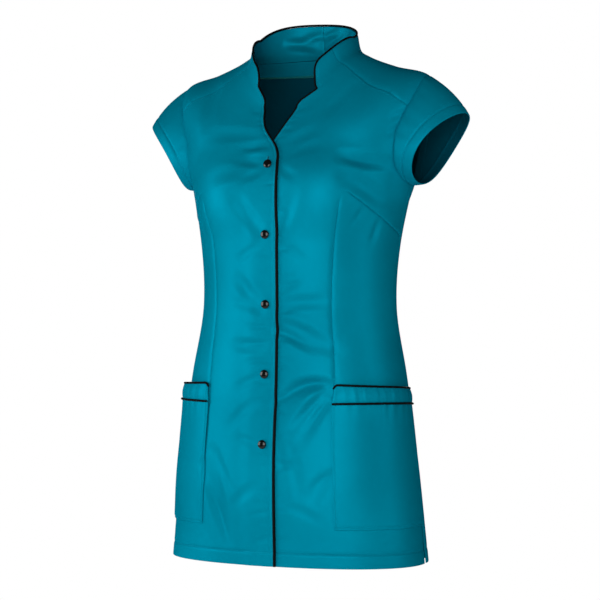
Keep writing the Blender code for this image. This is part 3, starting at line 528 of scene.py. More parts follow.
BACK_CREASES = {
    "left waist, long": (0.010, -0.345, 0.092, -0.348, 0.0016, 0.011, 0.004),
    "right waist, long": (-0.014, -0.358, -0.088, -0.352, 0.0016, 0.011, 0.004),
    "small of the back": (-0.034, -0.392, 0.038, -0.396, 0.0019, 0.012, 0.005),
    "left hip": (0.060, -0.420, 0.128, -0.436, 0.0015, 0.012, 0.002),
    "right hip": (-0.056, -0.428, -0.126, -0.440, 0.0015, 0.012, 0.002),
    "left blade": (0.112, -0.180, 0.062, -0.262, 0.0016, 0.014, 0.0),
    "right blade": (-0.116, -0.172, -0.070, -0.270, 0.0016, 0.014, 0.0),
    "centre skirt": (0.006, -0.500, -0.014, -0.660, 0.0019, 0.018, 0.0),
    "left skirt, outer": (0.140, -0.520, 0.150, -0.690, 0.0016, 0.016, 0.0),
    "right skirt, outer": (-0.132, -0.530, -0.146, -0.700, 0.0016, 0.016, 0.0),
    "yoke, left": (0.150, -0.060, 0.118, -0.112, 0.0015, 0.012, 0.0),
    "yoke, right": (-0.152, -0.062, -0.122, -0.118, 0.0015, 0.012, 0.0),
}

# %% [markdown]
# A fold is drawn by how near a point lies to its line. The trough fades at both ends, and a swell whose ends
# are one place stays round.

# %% Folding
FADE_FROM, FADE_OVER = 0.15, 0.80     # the part of a half wave by which a fold fades towards its ends


def fold_lines(table, back=False, steps=6):
    """Each fold's points on the form, with its depth and width."""
    share = np.linspace(0, 1, steps + 1)
    lines = []
    for row in table.values():
        fold = dict(zip(FOLD_COLUMNS, row))
        across = fold["across"] + (fold["to_across"] - fold["across"]) * share
        height = fold["height"] + (fold["to_height"] - fold["height"]) * share
        bend = 4 * fold["bow"] * share * (1 - share)
        lines.append((form(*locate(across, height + bend, back)), fold["depth"], fold["width"]))
    return lines


def stand_out(points, lines):
    """How far the folds move each point out, in metres."""
    total = np.zeros(points.shape[:-1])
    for line, depth, width in lines:
        box = ((points > line.min(axis=0) - width) & (points < line.max(axis=0) + width)).all(axis=-1)
        near_points = points[box]
        nearest = np.full(len(near_points), np.inf)
        along = np.zeros(len(near_points))
        for i, (start, end) in enumerate(zip(line[:-1], line[1:])):
            run = end - start
            s = np.clip((near_points - start) @ run / max(run @ run, 1e-12), 0, 1)
            distance = np.linalg.norm(near_points - start - s[..., None] * run, axis=-1)
            closer = distance < nearest
            nearest = np.where(closer, distance, nearest)
            along = np.where(closer, (i + s) / (len(line) - 1), along)
        fade = 1.0 if np.allclose(line[0], line[-1]) else np.sin(math.pi * (FADE_FROM + FADE_OVER * along))
        total[box] -= depth * fade * np.clip(1 - (nearest / width) ** 2, 0, None) ** 2
    return total


LARGE = fold_lines(FOLDS) + fold_lines(BACK_FOLDS, back=True)
SMALL = fold_lines(CREASES) + fold_lines(BACK_CREASES, back=True)


def cloth(angle, level, lift=0.0, fine=False):
    """Points of the cloth's inner face, lifted off the figure, and the directions that face out."""
    points = form(angle, level)
    normals = outward(angle, level)
    out = stand_out(points, LARGE) + lift
    if fine:
        out = out + stand_out(points, SMALL)
    return points + normals * np.asarray(out)[..., None], normals


print(len(LARGE), "folds and", len(SMALL), "creases")

# %% [markdown]
# ## Seams and edges
#
# The pattern's lines are functions of the level: the neckline and the collar's front, the forward shoulder
# seam, the armhole, which is an oval, and the side seam, which opens into a slit above the hem.

# %% Seams and edges
WALL = 0.0014              # the walls' thickness: the cloth with its turnings
CLOTH = 0.0012             # the shells' own thickness, a little less
GAP, SEAM_GAP = 0.0003, 0.00006     # between a piece and the one under it, and across a seam
LAYER = WALL + GAP
HAIR = 1e-9                # less than this is no distance
LAP_OVER, LAP_UNDER, LAP_CLEARED, LAP_MARGIN = 0.016, 0.018, 0.040, 0.001
UNDER_PIPING_FROM = 0.002
FRONT_OPENING, BACK_OPENING = 0.0075, 0.0015     # how far the slit's edges stand off the seam's line
ARMHOLE_MIDDLE = (UNDERARM + SHOULDER_TIP) / 2
ARMHOLE_HALF_HEIGHT = (SHOULDER_TIP - UNDERARM) / 2
ARMHOLE_HALF_ANGLE = 28.0
YOKE_ON_ARMHOLE = 30.0
COLLAR_CORNER, COLLAR_CORNER_ANGLE = 0.010, 7.0
LINE_COLUMNS = ("across", "height")
NECKLINE_LEFT = {
    "lap": (-0.018, -0.155),
    "crossing": (0.0000, -0.1340),
    "low V": (0.0086, -0.1204),
    "mid V": (0.0149, -0.1093),
    "upper V": (0.0225, -0.0965),
    "high V": (0.0285, -0.0853),
    "under the notch": (0.0330, -0.0757),
    "lapel corner": (0.0362, -0.0722),
    "notch": (0.0560, -0.0590),
    "over the notch": (0.0530, -0.0534),
    "collar front": (0.0492, -0.0403),
    "collar corner": (0.0465, -0.0260),
}
NECKLINE_RIGHT = {
    "placket": (-0.0160, -0.2600),
    "placket, upper": (-0.0148, -0.2050),
    "lap": (-0.0128, -0.1650),
    "above the lap": (-0.0110, -0.1500),
    "crossing": (-0.0038, -0.1366),
    "low V": (0.0052, -0.1265),
    "mid V": (0.0158, -0.1132),
    "high V": (0.0209, -0.0997),
    "under the notch": (0.0242, -0.0832),
    "lapel corner": (0.0272, -0.0684),
    "over the corner": (0.0332, -0.0616),
    "notch": (0.0405, -0.0530),
    "collar front": (0.0392, -0.0452),
    "collar corner": (0.0385, -0.0300),
}
YOKE_SEAM = {
    "beside the armhole": (0.1710, -0.0745),
    "lower": (0.1450, -0.0602),
    "upper": (0.1050, -0.0384),
    "at the neck": (0.0760, -0.0180),
    "on the collar": (0.0640, 0.0000),
}
LEVEL_STEP = 0.0003        # a line's places rise by at least this much, also along the notch


def line_through(table):
    """The levels and angles of a line on the front, from a table of its places from the lowest up."""
    angles, levels = locate(column(table, LINE_COLUMNS, "across"), column(table, LINE_COLUMNS, "height"))
    levels = (np.maximum.accumulate(levels) + np.minimum.accumulate(levels[::-1])[::-1]) / 2
    levels = levels + LEVEL_STEP * np.arange(len(levels))
    return tuple(levels), tuple(angles)


def armhole_level(turn):
    """The armhole is an oval in angle and level; turn runs from -90 at the underarm to 90 at the top."""
    return ARMHOLE_MIDDLE + ARMHOLE_HALF_HEIGHT * np.sin(np.radians(turn))


def armhole_reach(level):
    """How far the armhole's edge lies from the side, in degrees."""
    share = np.clip((level - ARMHOLE_MIDDLE) / ARMHOLE_HALF_HEIGHT, -1, 1)
    return ARMHOLE_HALF_ANGLE * np.sqrt(1 - share ** 2)


def half_gap(angle, level):
    """Half of a seam's gap, in degrees."""
    return degrees_for(SEAM_GAP / 2, angle, level)


YOKE_LEVEL = float(armhole_level(YOKE_ON_ARMHOLE))
YOKE_LEVELS, YOKE_ANGLES = line_through(YOKE_SEAM)
NECK_LINES = {1: line_through(NECKLINE_LEFT), -1: line_through(NECKLINE_RIGHT)}
SIDE_SEAM = {HEM: 100.0, SLIT_TOP: 100.5, WAIST: 101.0, -0.270: 98.0, -0.225: 93.0, UNDERARM: 90.0}
DART_LINE = {HEM: 32.2, -0.600: 33.2, BAND_BOTTOM: 34.6, POCKET_TOP: 36.0, WAIST: 38.0, -0.210: 38.8}


def yoke_angle(level):
    foot = SIDE - float(armhole_reach(YOKE_LEVEL))
    return smooth(level, (YOKE_LEVEL, *YOKE_LEVELS), (foot, *YOKE_ANGLES))


def side_seam(level):
    return smooth(level, SIDE_SEAM.keys(), SIDE_SEAM.values())


def dart_line(level):
    return smooth(level, DART_LINE.keys(), DART_LINE.values())


def side_edge(level, opening=FRONT_OPENING):
    """The side seam's angle on the front's side, opening into the slit below its top."""
    into_slit = np.clip((SLIT_TOP - level) / (SLIT_TOP - HEM), 0, 1) ** 0.6
    opening = degrees_for(opening, SIDE, level) * into_slit
    return side_seam(level) - half_gap(side_seam(level), level) - opening


def neckline_edge(level, side):
    """The front's inner edge: straight on the lap, then the neckline, then round the collar's corner."""
    straight = angle_across(-LAP_UNDER if side > 0 else -LAP_OVER, level)
    levels, angles = NECK_LINES[side]
    neck = smooth(level, levels, angles)
    share = np.clip((level - COLLAR_TOP + COLLAR_CORNER) / COLLAR_CORNER, 0, 1)
    corner = COLLAR_CORNER_ANGLE * (1 - np.sqrt(1 - share ** 2))
    return np.maximum(straight, np.where(level < levels[0], straight, neck + corner))


def outer_edge(level):
    """The front's outer edge: the side seam, the armhole and then the shoulder seam."""
    armhole = SIDE - np.maximum(armhole_reach(level), half_gap(SIDE, level))
    yoke = yoke_angle(level) - half_gap(yoke_angle(level), level)
    below = np.where(level < YOKE_LEVEL + HAIR, armhole, yoke)
    return np.where(level < UNDERARM - HAIR, side_edge(level), below)


print("the shoulder seam meets the armhole at level", round(YOKE_LEVEL, 3))

# %% [markdown]
# ## Panels as grids
#
# Each panel starts as one bmesh grid, whose points are moved to their places on the figure: rows at one
# level, columns spread between the panel's edges. Rows and columns stand closer beside a stitch line or a
# dart, so that its groove is sharp. Solidify gives the cloth its thickness and Bevel rounds the raw corners
# of its edge; both are then baked into the mesh.

# %% Panel helpers
TURNED = 0.0003                        # a turned hem's second layer raises the cloth
WELD, TUBE_WELD = 0.00002, 0.00001     # points this near to each other are made one
RIM, RIM_ANGLE = 0.0003, 50            # how far a raw corner is rounded, and from which angle on


def run_along(points, axis):
    """Each point's distance from the grid's first row or column, measured along the cloth."""
    steps = np.linalg.norm(np.diff(points, axis=axis), axis=-1)
    return np.concatenate([np.zeros_like(steps.take([0], axis=axis)), np.cumsum(steps, axis=axis)], axis=axis)


def on_rows(levels, columns):
    """The same levels in every column of a grid."""
    return np.repeat(levels[:, None], columns, axis=1)


def side_name(side):
    return "left" if side > 0 else "right"


def measure(points, origin_column=0):
    """The thread measure of a grid: across from one column, and up along the middle column."""
    across = run_along(points, 1)
    across = across - across[:, origin_column:origin_column + 1]
    middle = points.shape[1] // 2
    up = np.repeat(run_along(points, 0)[:, middle:middle + 1], points.shape[1], axis=1)
    return np.stack([across, up], axis=-1)


def spread(stops, counts):
    """Rows of angles or levels: between each two stops, so many equal steps."""
    stops = [np.asarray(stop, float)[..., None] for stop in stops]
    parts = [stops[0]]
    for start, end, count in zip(stops[:-1], stops[1:], counts):
        share = np.arange(1, count + 1) / count
        parts.append(start + (end - start) * share)
    return np.concatenate(parts, axis=-1)


def steps_up(start, rows):
    """Levels from a start up to each level in turn, no further apart than its spacing."""
    levels = [start]
    for top, spacing in rows:
        count = max(1, math.ceil((top - levels[-1]) / spacing - 1e-6))
        levels += list(np.linspace(levels[-1], top, count + 1)[1:])
    return np.array(levels)


def add_grid(shape, points, thread):
    """A grid whose points go to their places, with the thread measure on each."""
    layer = shape.verts.layers.float_vector.get(THREAD) or shape.verts.layers.float_vector.new(THREAD)
    before = len(shape.verts)
    rows, columns = points.shape[:2]
    bmesh.ops.create_grid(shape, x_segments=columns - 1, y_segments=rows - 1, size=1)
    shape.verts.ensure_lookup_table()
    for vert, place, weave in zip(shape.verts[before:], points.reshape(-1, 3), thread.reshape(-1, 2)):
        vert.co = place
        vert[layer] = (*weave, 0)


def grid_shape(points, thread, side=1, dist=None):
    """A bmesh of one grid, its columns turned round for side -1, and welded where it meets itself."""
    shape = bmesh.new()
    add_grid(shape, points[:, ::side], thread[:, ::side])
    if dist:
        bmesh.ops.remove_doubles(shape, verts=shape.verts, dist=dist)
    return shape


def add_object(name, shape, materials):
    """Makes a bmesh an object, and frees it."""
    mesh = bpy.data.meshes.new(name)
    shape.to_mesh(mesh)
    shape.free()
    for surface in materials:
        mesh.materials.append(surface)
    made = bpy.data.objects.new(name, mesh)
    bpy.context.scene.collection.objects.link(made)
    return made


def finish_piece(name, shape, node, materials, wall=None):
    """Makes the bmesh an object that rides on the tunic; the outer face takes the first material."""
    made = add_object(name, shape, materials)
    if wall:
        thickness = made.modifiers.new("wall", "SOLIDIFY")
        thickness.thickness, thickness.offset = wall, 1
        thickness.material_offset = len(materials) - 1
        edge = made.modifiers.new("edge", "BEVEL")
        edge.width, edge.segments = RIM, 2
        edge.limit_method, edge.angle_limit = "ANGLE", math.radians(RIM_ANGLE)
        graph = bpy.context.evaluated_depsgraph_get()
        baked = bpy.data.meshes.new_from_object(made.evaluated_get(graph))
        made.modifiers.clear()
        made.data = baked
    made.data.shade_smooth()
    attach(made, "root")
    if node:
        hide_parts(node)
    print(name, len(made.data.polygons), "faces")
    return made


def finish_cloth(name, shape, node):
    # The inner face takes the reverse, whose colour is darkened as painted shade.
    return finish_piece(name, shape, node, (satin, reverse_with_painted_shade), CLOTH)


def groove(distance, width, depth):
    """How far a stitched line pulls the cloth in."""
    return -depth * np.exp(-(distance / width) ** 2)


def edge_roll(distance, width=0.0024, depth=0.0009):
    """A turned or seamed edge curves in."""
    return -depth * np.clip(1 - distance / width, 0, 1) ** 2


def hem_relief(distance, depth, pull=0.0008, roll=0.0016):
    """A stitched hem: its groove, its rolled fold, and its second layer."""
    return (groove(distance - depth, 0.0011, pull) + edge_roll(distance, roll, 0.0003)
            + TURNED * (distance < depth))


# %% [markdown]
# ## Stitches
#
# Machine stitches are 2.5 to 3 mm long. Each is one small ellipsoid of thread, half sunk in the cloth, and a
# line of them is one joined mesh.

# %% Stitch helper
STITCH_PITCH, STITCH_LENGTH, STITCH_RADIUS = 0.0030, 0.0022, 0.00020
STITCH_BATCH = 24


def place_stitch(shape, layer, here, ahead, up, at, radius):
    """One stitch at a place, along the line to the place ahead; at is its distance along the seam."""
    along = unit(ahead - here)
    axes = np.stack([along, np.cross(up, along), up], axis=1)
    turned = Matrix([(*row, spot) for row, spot in zip(axes, here)] + [(0, 0, 0, 1)])
    size = Matrix.Diagonal((STITCH_LENGTH / 2, radius, radius, 1))
    made = bmesh.ops.create_uvsphere(shape, u_segments=6, v_segments=4, radius=1,
                                     matrix=turned @ size @ Matrix.Rotation(math.pi / 2, 4, "Y"))
    for vert in made["verts"]:
        vert[layer] = vert.co - Vector(here) + Vector((float(at), 0, 0))


def read_along(values, reach, at):
    """A line's values, read at any distances along it."""
    return np.stack([np.interp(at, reach, values[:, k]) for k in range(3)], axis=1)


def add_stitches(shape, line, normals, pitch=STITCH_PITCH, radius=STITCH_RADIUS):
    """Stitches along a line of points on the cloth's outer face, in small batches, which is faster."""
    reach = run_along(line, 0)
    stops = (np.arange(int(reach[-1] / pitch)) + 0.5) * pitch
    here, ahead = read_along(line, reach, stops), read_along(line, reach, stops + pitch / 4)
    up = unit(read_along(normals, reach, stops))
    for first in range(0, len(stops), STITCH_BATCH):
        batch = bmesh.new()
        layer = batch.verts.layers.float_vector.new(THREAD)
        for i in range(first, min(first + STITCH_BATCH, len(stops))):
            place_stitch(batch, layer, here[i], ahead[i], up[i], stops[i], radius)
        mesh = bpy.data.meshes.new("stitches")
        batch.to_mesh(mesh)
        batch.free()
        shape.from_mesh(mesh)
        bpy.data.meshes.remove(mesh)


# %% [markdown]
# ## The fronts
#
# Each front is one piece from the hem to the collar's top, shaped by a bust dart from the side seam and a
# vertical dart through the waist. The wearer's right front laps over the left one, so it is raised past the
# under front's wall and comes down again beyond its edge.

# %% Front rows and columns
SPACING, YOKE_SPACING, NOTCH_SPACING, COLLAR_SPACING = 0.0026, 0.0032, 0.0007, 0.002
NOTCH_FOOT, NOTCH_TOP = 0.052, 0.067     # the levels between which the rows stand closer, for the notch
HEM_DEPTH, PLACKET_STITCH = 0.019, 0.0036
STITCH_BESIDE, DART_BESIDE = 0.0011, 0.0010     # where the columns beside a line of stitches or a dart stand
DART_DRIFTS_FROM, DART_DRIFTS_OVER = -0.215, 0.060
MIDDLE_SHARE = 0.42
MM = 0.001
ARMHOLE_STEP = 3.0
ARMHOLE_TURNS = np.arange(-90.0, 90.0 + ARMHOLE_STEP, ARMHOLE_STEP)
FRONT_COUNTS = (2, 1, 1, 1, 30, 1, 1, 40, 2)


def hem_rows(spacing):
    """Rows for the hem's fold and its stitches, as steps_up takes them."""
    stitch = HEM + HEM_DEPTH
    return ((HEM + 0.0012, 0.0006), (stitch - STITCH_BESIDE, spacing), (stitch, 0.01),
            (stitch + STITCH_BESIDE, 0.01))


def front_levels():
    """The rows' levels, close together at the hem, the notch and the collar's corner."""
    low = steps_up(HEM, hem_rows(SPACING) + ((UNDERARM, SPACING),))[:-1]
    shoulder = steps_up(SHOULDER_TIP, ((NOTCH_FOOT, YOKE_SPACING), (NOTCH_TOP, NOTCH_SPACING),
                                       (COLLAR_TOP - COLLAR_CORNER, COLLAR_SPACING)))
    turns = np.radians(np.linspace(0, 90, 9)[1:])
    corner = COLLAR_TOP - COLLAR_CORNER + COLLAR_CORNER * np.sin(turns)
    return np.concatenate([low, armhole_level(ARMHOLE_TURNS)[:-1], shoulder, corner])


def dart_column(level, edge, outer):
    """The vertical dart's angle, which drifts to the panel's middle above the bust."""
    above = np.clip((level - DART_DRIFTS_FROM) / DART_DRIFTS_OVER, 0, 1) ** 2
    lap_end = np.maximum(angle_across(LAP_OVER, level), edge + 0.08 * (outer - edge))
    return dart_line(level) + (lap_end + MIDDLE_SHARE * (outer - lap_end) - dart_line(level)) * above


def front_angles(levels, side):
    """The columns' angles, close together beside the placket's stitches and the dart."""
    edge, outer = neckline_edge(levels, side), outer_edge(levels)
    dart = dart_column(levels, edge, outer)
    mm = degrees_for(MM, edge, levels)
    stitch, beside = edge + mm * PLACKET_STITCH / MM, mm * STITCH_BESIDE / MM
    dart_beside = degrees_for(DART_BESIDE, dart, levels)
    room = np.minimum(1, (outer - edge) / (mm * 40))
    return spread((edge, edge + mm * 1.2 * room, stitch - beside, stitch, stitch + beside, dart - dart_beside,
                   dart, dart + dart_beside, outer - degrees_for(0.0020, outer, levels), outer), FRONT_COUNTS)


def lap_lift(angle, level):
    """The over front is raised past the under front's wall, and comes down beyond its edge."""
    slope = LAP_CLEARED - LAP_UNDER - LAP_MARGIN
    past = np.clip((form(angle, level)[..., 0] + LAP_CLEARED) / slope, 0, 1)
    return LAYER * past * past * (3 - 2 * past)


# %% [markdown]
# Small puckers stand along every line that was sewn through several layers: the placket, the neckline and
# the darts. No two are alike, so their lengths and depths come from a random generator with a fixed seed.

# %% Puckers
def puckers(seed, count, start, end, run, depth, width, lean):
    """Short troughs off a line between two places, unevenly spaced; run is how far they reach, a range."""
    chance = np.random.default_rng(seed)
    rows = {}
    for i in range(count):
        share = (i + chance.uniform(0.1, 0.9)) / count
        across = start[0] + (end[0] - start[0]) * share
        height = start[1] + (end[1] - start[1]) * share
        reach = chance.uniform(*run)
        slope = chance.uniform(*lean)
        rows[i] = (across, height, across + reach, height + slope * abs(reach),
                   chance.uniform(0.6, 1.0) * depth, chance.uniform(0.8, 1.3) * width, 0.0)
    return rows


PUCKER_COLUMNS = ("seed", "count", "start", "end", "run", "depth", "width", "lean")
PUCKERS_OF_RIGHT = {
    "placket": (1, 22, (0.010, -0.180), (0.010, -0.700), (-0.024, -0.009), 0.0013, 0.0042, (-0.2, 0.2)),
    "neckline": (2, 5, (-0.031, -0.086), (-0.004, -0.128), (-0.014, -0.008), 0.0007, 0.0035, (-0.1, 0.3)),
}
PUCKERS_OF_LEFT = {
    "neckline": (3, 6, (0.033, -0.086), (0.008, -0.130), (0.008, 0.016), 0.0007, 0.0035, (-0.1, 0.5)),
    "placket": (4, 18, (0.020, -0.190), (0.020, -0.700), (0.008, 0.024), 0.0012, 0.0045, (-0.3, 0.3)),
}
PUCKERS_RIGHT, PUCKERS_LEFT = (
    fold_lines({(line, number): fold for line, row in table.items()
                for number, fold in puckers(**dict(zip(PUCKER_COLUMNS, row))).items()}, steps=2)
    for table in (PUCKERS_OF_RIGHT, PUCKERS_OF_LEFT))
print(len(PUCKERS_RIGHT) + len(PUCKERS_LEFT), "puckers")

# %% Both fronts
BUST_DART = ((0.1085, -0.2015), (0.1404, -0.2319), (0.1510, -0.2535))
BUST_DART_CUTS = (-0.0022, -0.0008, 0.0, 0.0008, 0.0022)
CUT_NEAR, CUT_BEFORE, CUT_BEYOND = 0.012, 0.004, 0.02     # the faces that are cut
PULL_NEAR, PULL_BEFORE, PULL_BEYOND, PULL_FADES = 0.02, 0.002, 0.03, 0.015     # the points that are moved
BUST_PLEAT, BUST_PLEAT_WIDTH = 0.0008, 0.006
DART_SEWN_TO, DART_SEWN_FROM = -0.205, -0.510     # the vertical dart's ends


def press_bust_dart(shape, side):
    """Cuts edges along the bust dart and pulls them in; the cloth above it stands a little over it."""
    across, height = np.array(BUST_DART).T
    tip, middle, end = cloth(*locate(across * side, height))[0]
    normal = unit(np.cross(middle - tip, end - tip))
    normal = normal if normal[2] > 0 else -normal
    along = unit(end - tip)
    length = np.linalg.norm(end - tip)
    near = [f for f in shape.faces
            if abs((np.array(f.calc_center_median()) - tip) @ normal) < CUT_NEAR
            and -CUT_BEFORE < (np.array(f.calc_center_median()) - tip) @ along < length + CUT_BEYOND]
    for offset in BUST_DART_CUTS:
        geometry = [g for f in near if f.is_valid for g in (f, *f.edges, *f.verts)]
        cut = bmesh.ops.bisect_plane(shape, geom=list(dict.fromkeys(geometry)), dist=WELD,
                                     plane_co=tip + normal * offset, plane_no=normal)
        near = [g for g in cut["geom"] if isinstance(g, bmesh.types.BMFace)]
    shape.normal_update()
    for vert in shape.verts:
        place = np.array(vert.co) - tip
        off, reach = place @ normal, place @ along
        if abs(off) < PULL_NEAR and -PULL_BEFORE < reach < length + PULL_BEYOND:
            fade = min(1.0, max(0.0, reach + PULL_BEFORE) / PULL_FADES)
            pleat = BUST_PLEAT * math.copysign(1, off) * math.exp(-abs(off) / BUST_PLEAT_WIDTH)
            vert.co += vert.normal * fade * (groove(off, 0.0008, 0.0020) + pleat * (abs(off) > 1e-5))


def make_front(name, side):
    """One front; the right one, whose side is -1, laps over."""
    over = side < 0
    levels = front_levels()
    angles = front_angles(levels, side) * side
    level_grid = on_rows(levels, angles.shape[1])
    lift = lap_lift(angles, level_grid) if over else 0.0
    points, normals = cloth(angles, level_grid, lift, fine=True)
    from_edge = run_along(points, 1)
    from_side = from_edge[:, -1:] - from_edge
    up = run_along(points, 0)
    stitch_at, dart_at = sum(FRONT_COUNTS[:2]), sum(FRONT_COUNTS[:6])
    from_dart = from_edge - from_edge[:, dart_at:dart_at + 1]
    sewn = (np.clip((level_grid - DART_SEWN_FROM) / 0.02, 0, 1)
            * np.clip((DART_SEWN_TO - level_grid) / 0.03, 0, 1))
    wobble = 1 + 0.35 * np.sin(level_grid / 0.0031) * np.sin(level_grid / 0.0117)
    relief = (edge_roll(from_edge, 0.0022, 0.0004) + edge_roll(from_side)
              + groove(from_edge - PLACKET_STITCH, 0.0012, 0.0006)
              + groove(from_dart, 0.0010, 0.0016) * sewn * wobble
              + hem_relief(up, HEM_DEPTH, 0.0009) + edge_roll(COLLAR_TOP - level_grid, 0.0015, 0.0003)
              + stand_out(points, PUCKERS_RIGHT if over else PUCKERS_LEFT))
    points = points + normals * relief[..., None]
    shape = grid_shape(points, measure(points, dart_at) * [side, 1], side)
    press_bust_dart(shape, side)
    made = finish_cloth(name, shape, f"front_{side_name(side)}")
    return {"piece": made, "points": points, "normals": normals, "levels": levels, "stitch": stitch_at,
            "dart": dart_at}


front_left = make_front("cloth_front_left", 1)
front_right = make_front("cloth_front_right", -1)

# %% [markdown]
# ## The back
#
# The back comes over the shoulders to the forward seam and up into the back of the collar. It is four grids
# that share their borders: below the shoulder, above it, and a small tab in front of each armhole's top. It
# isn't shown, so it is plain, with the two waist darts that such a back has.

# %% Back
BACK_SPACING, BACK_FOOT_SPACING, BACK_COLLAR_SPACING = 0.0040, 0.0018, 0.0024
BACK_COLUMNS, TAB_COLUMNS = 116, 14
BACK_DART_ANGLE, BACK_DART_FROM, BACK_DART_TO = 34.0, -0.500, -0.225


def back_rows():
    """The rows' levels below the shoulder's tip and above it."""
    low = steps_up(HEM, hem_rows(BACK_SPACING) + ((UNDERARM, BACK_SPACING),))[:-1]
    shoulder = steps_up(SHOULDER_TIP, ((NECK_BASE, BACK_SPACING), (COLLAR_FOOT, BACK_FOOT_SPACING),
                                       (COLLAR_TOP, BACK_COLLAR_SPACING)))
    return np.concatenate([low, armhole_level(ARMHOLE_TURNS)]), shoulder


def seam_edge(levels):
    """The back's edge along the shoulder seam."""
    return yoke_angle(levels) + half_gap(yoke_angle(levels), levels)


def back_patches():
    """The angles and levels of the back's four grids."""
    lower, upper = back_rows()
    reach = np.maximum(armhole_reach(lower), np.where(lower < ARMHOLE_MIDDLE, half_gap(SIDE, lower), 0.0))
    edge = np.where(lower < UNDERARM - HAIR, 2 * side_seam(lower) - side_edge(lower, BACK_OPENING),
                    SIDE + reach)
    body = spread((edge, FULL_TURN - edge), (BACK_COLUMNS,))
    seam, side = seam_edge(upper), np.full(upper.shape, SIDE)
    shoulders = spread((seam, side, FULL_TURN - side, FULL_TURN - seam),
                       (TAB_COLUMNS, BACK_COLUMNS, TAB_COLUMNS))
    turns = ARMHOLE_TURNS[ARMHOLE_TURNS > YOKE_ON_ARMHOLE - 1e-6]
    levels = armhole_level(turns)
    seam = seam_edge(levels)
    tab = spread((seam, np.maximum(SIDE - armhole_reach(levels), seam)), (TAB_COLUMNS,))
    grids = [(body, lower), (shoulders, upper), (tab, levels), (FULL_TURN - tab[:, ::-1], levels)]
    return [(angles, on_rows(rows, angles.shape[1])) for angles, rows in grids]


shape = bmesh.new()
back = []
for number, (angles, levels) in enumerate(back_patches()):
    points, normals = cloth(angles, levels, fine=True)
    across, centre = run_along(points, 1), points.shape[1] // 2
    if number < 2:
        relief = edge_roll(np.minimum(across, across[:, -1:] - across))
        thread = measure(points, centre)
    if number == 0:
        up = run_along(points, 0)
        from_dart = (np.abs(angles - CENTRE_BACK) - BACK_DART_ANGLE) / degrees_for(1.0, angles, levels)
        sewn = (np.clip((levels - BACK_DART_FROM) / 0.05, 0, 1)
                * np.clip((BACK_DART_TO - levels) / 0.03, 0, 1))
        relief = relief + groove(from_dart, 0.0028, 0.0009) * sewn + hem_relief(up, HEM_DEPTH)
        body_height = up[-1, centre]
    elif number == 1:
        relief = relief + edge_roll(COLLAR_TOP - levels, 0.0015, 0.0003)
        thread = thread + [0, body_height]
        shoulder_row = thread[0]
    else:
        left = number == 2
        relief = edge_roll(across if left else across[:, -1:] - across)
        row = shoulder_row[:TAB_COLUMNS + 1] if left else shoulder_row[-TAB_COLUMNS - 1:]
        thread = np.repeat(row[None], points.shape[0], axis=0)
    points = points + normals * relief[..., None]
    back.append((points, normals, levels))
    add_grid(shape, points, thread)
bmesh.ops.remove_doubles(shape, verts=shape.verts, dist=WELD)
back_piece = finish_cloth("cloth_back", shape, "back")

# %% [markdown]
# ## The sleeves
#
# A cap sleeve is a short ring from the armhole to the cuff. It starts a seam's width away from the armhole's
# own edge, rises over the shoulder's point and runs straight to the hemmed cuff.

# %% Sleeves
CUFF = {
    "front": (0.201, -0.036, -0.140),
    "top": (0.250, 0.016, -0.093),
    "back": (0.215, 0.062, -0.140),
    "bottom": (0.187, 0.010, -0.190),
}
SLEEVE_ROUNDING, SLEEVE_UNDER_SHARE, SLEEVE_FULL_LENGTH = 0.0055, 0.2, 0.05
SLEEVE_COLUMNS, SLEEVE_COUNTS = 132, (2, 18, 1, 1, 5, 2)
CUFF_DEPTH = 0.015
EASE, EASE_REACH = 0.0009, 0.014
ALLOWANCE, ALLOWANCE_WIDTH, ALLOWANCE_BEYOND = 0.0008, 0.011, 0.0035


def cuff_edge(turns, side):
    """The cuff's closed curve through its four quarters, as many points as turns."""
    front, top, behind, bottom = (np.array(CUFF[name]) for name in ("front", "top", "back", "bottom"))
    middle = (front + top + behind + bottom) / 4
    squash = (front + behind - top - bottom) / 4
    turn = np.radians(turns)[:, None]
    edge = (middle + (front - behind) / 2 * np.cos(turn) + (top - bottom) / 2 * np.sin(turn)
            + squash * np.cos(2 * turn))
    return edge * np.array([side, 1, 1])


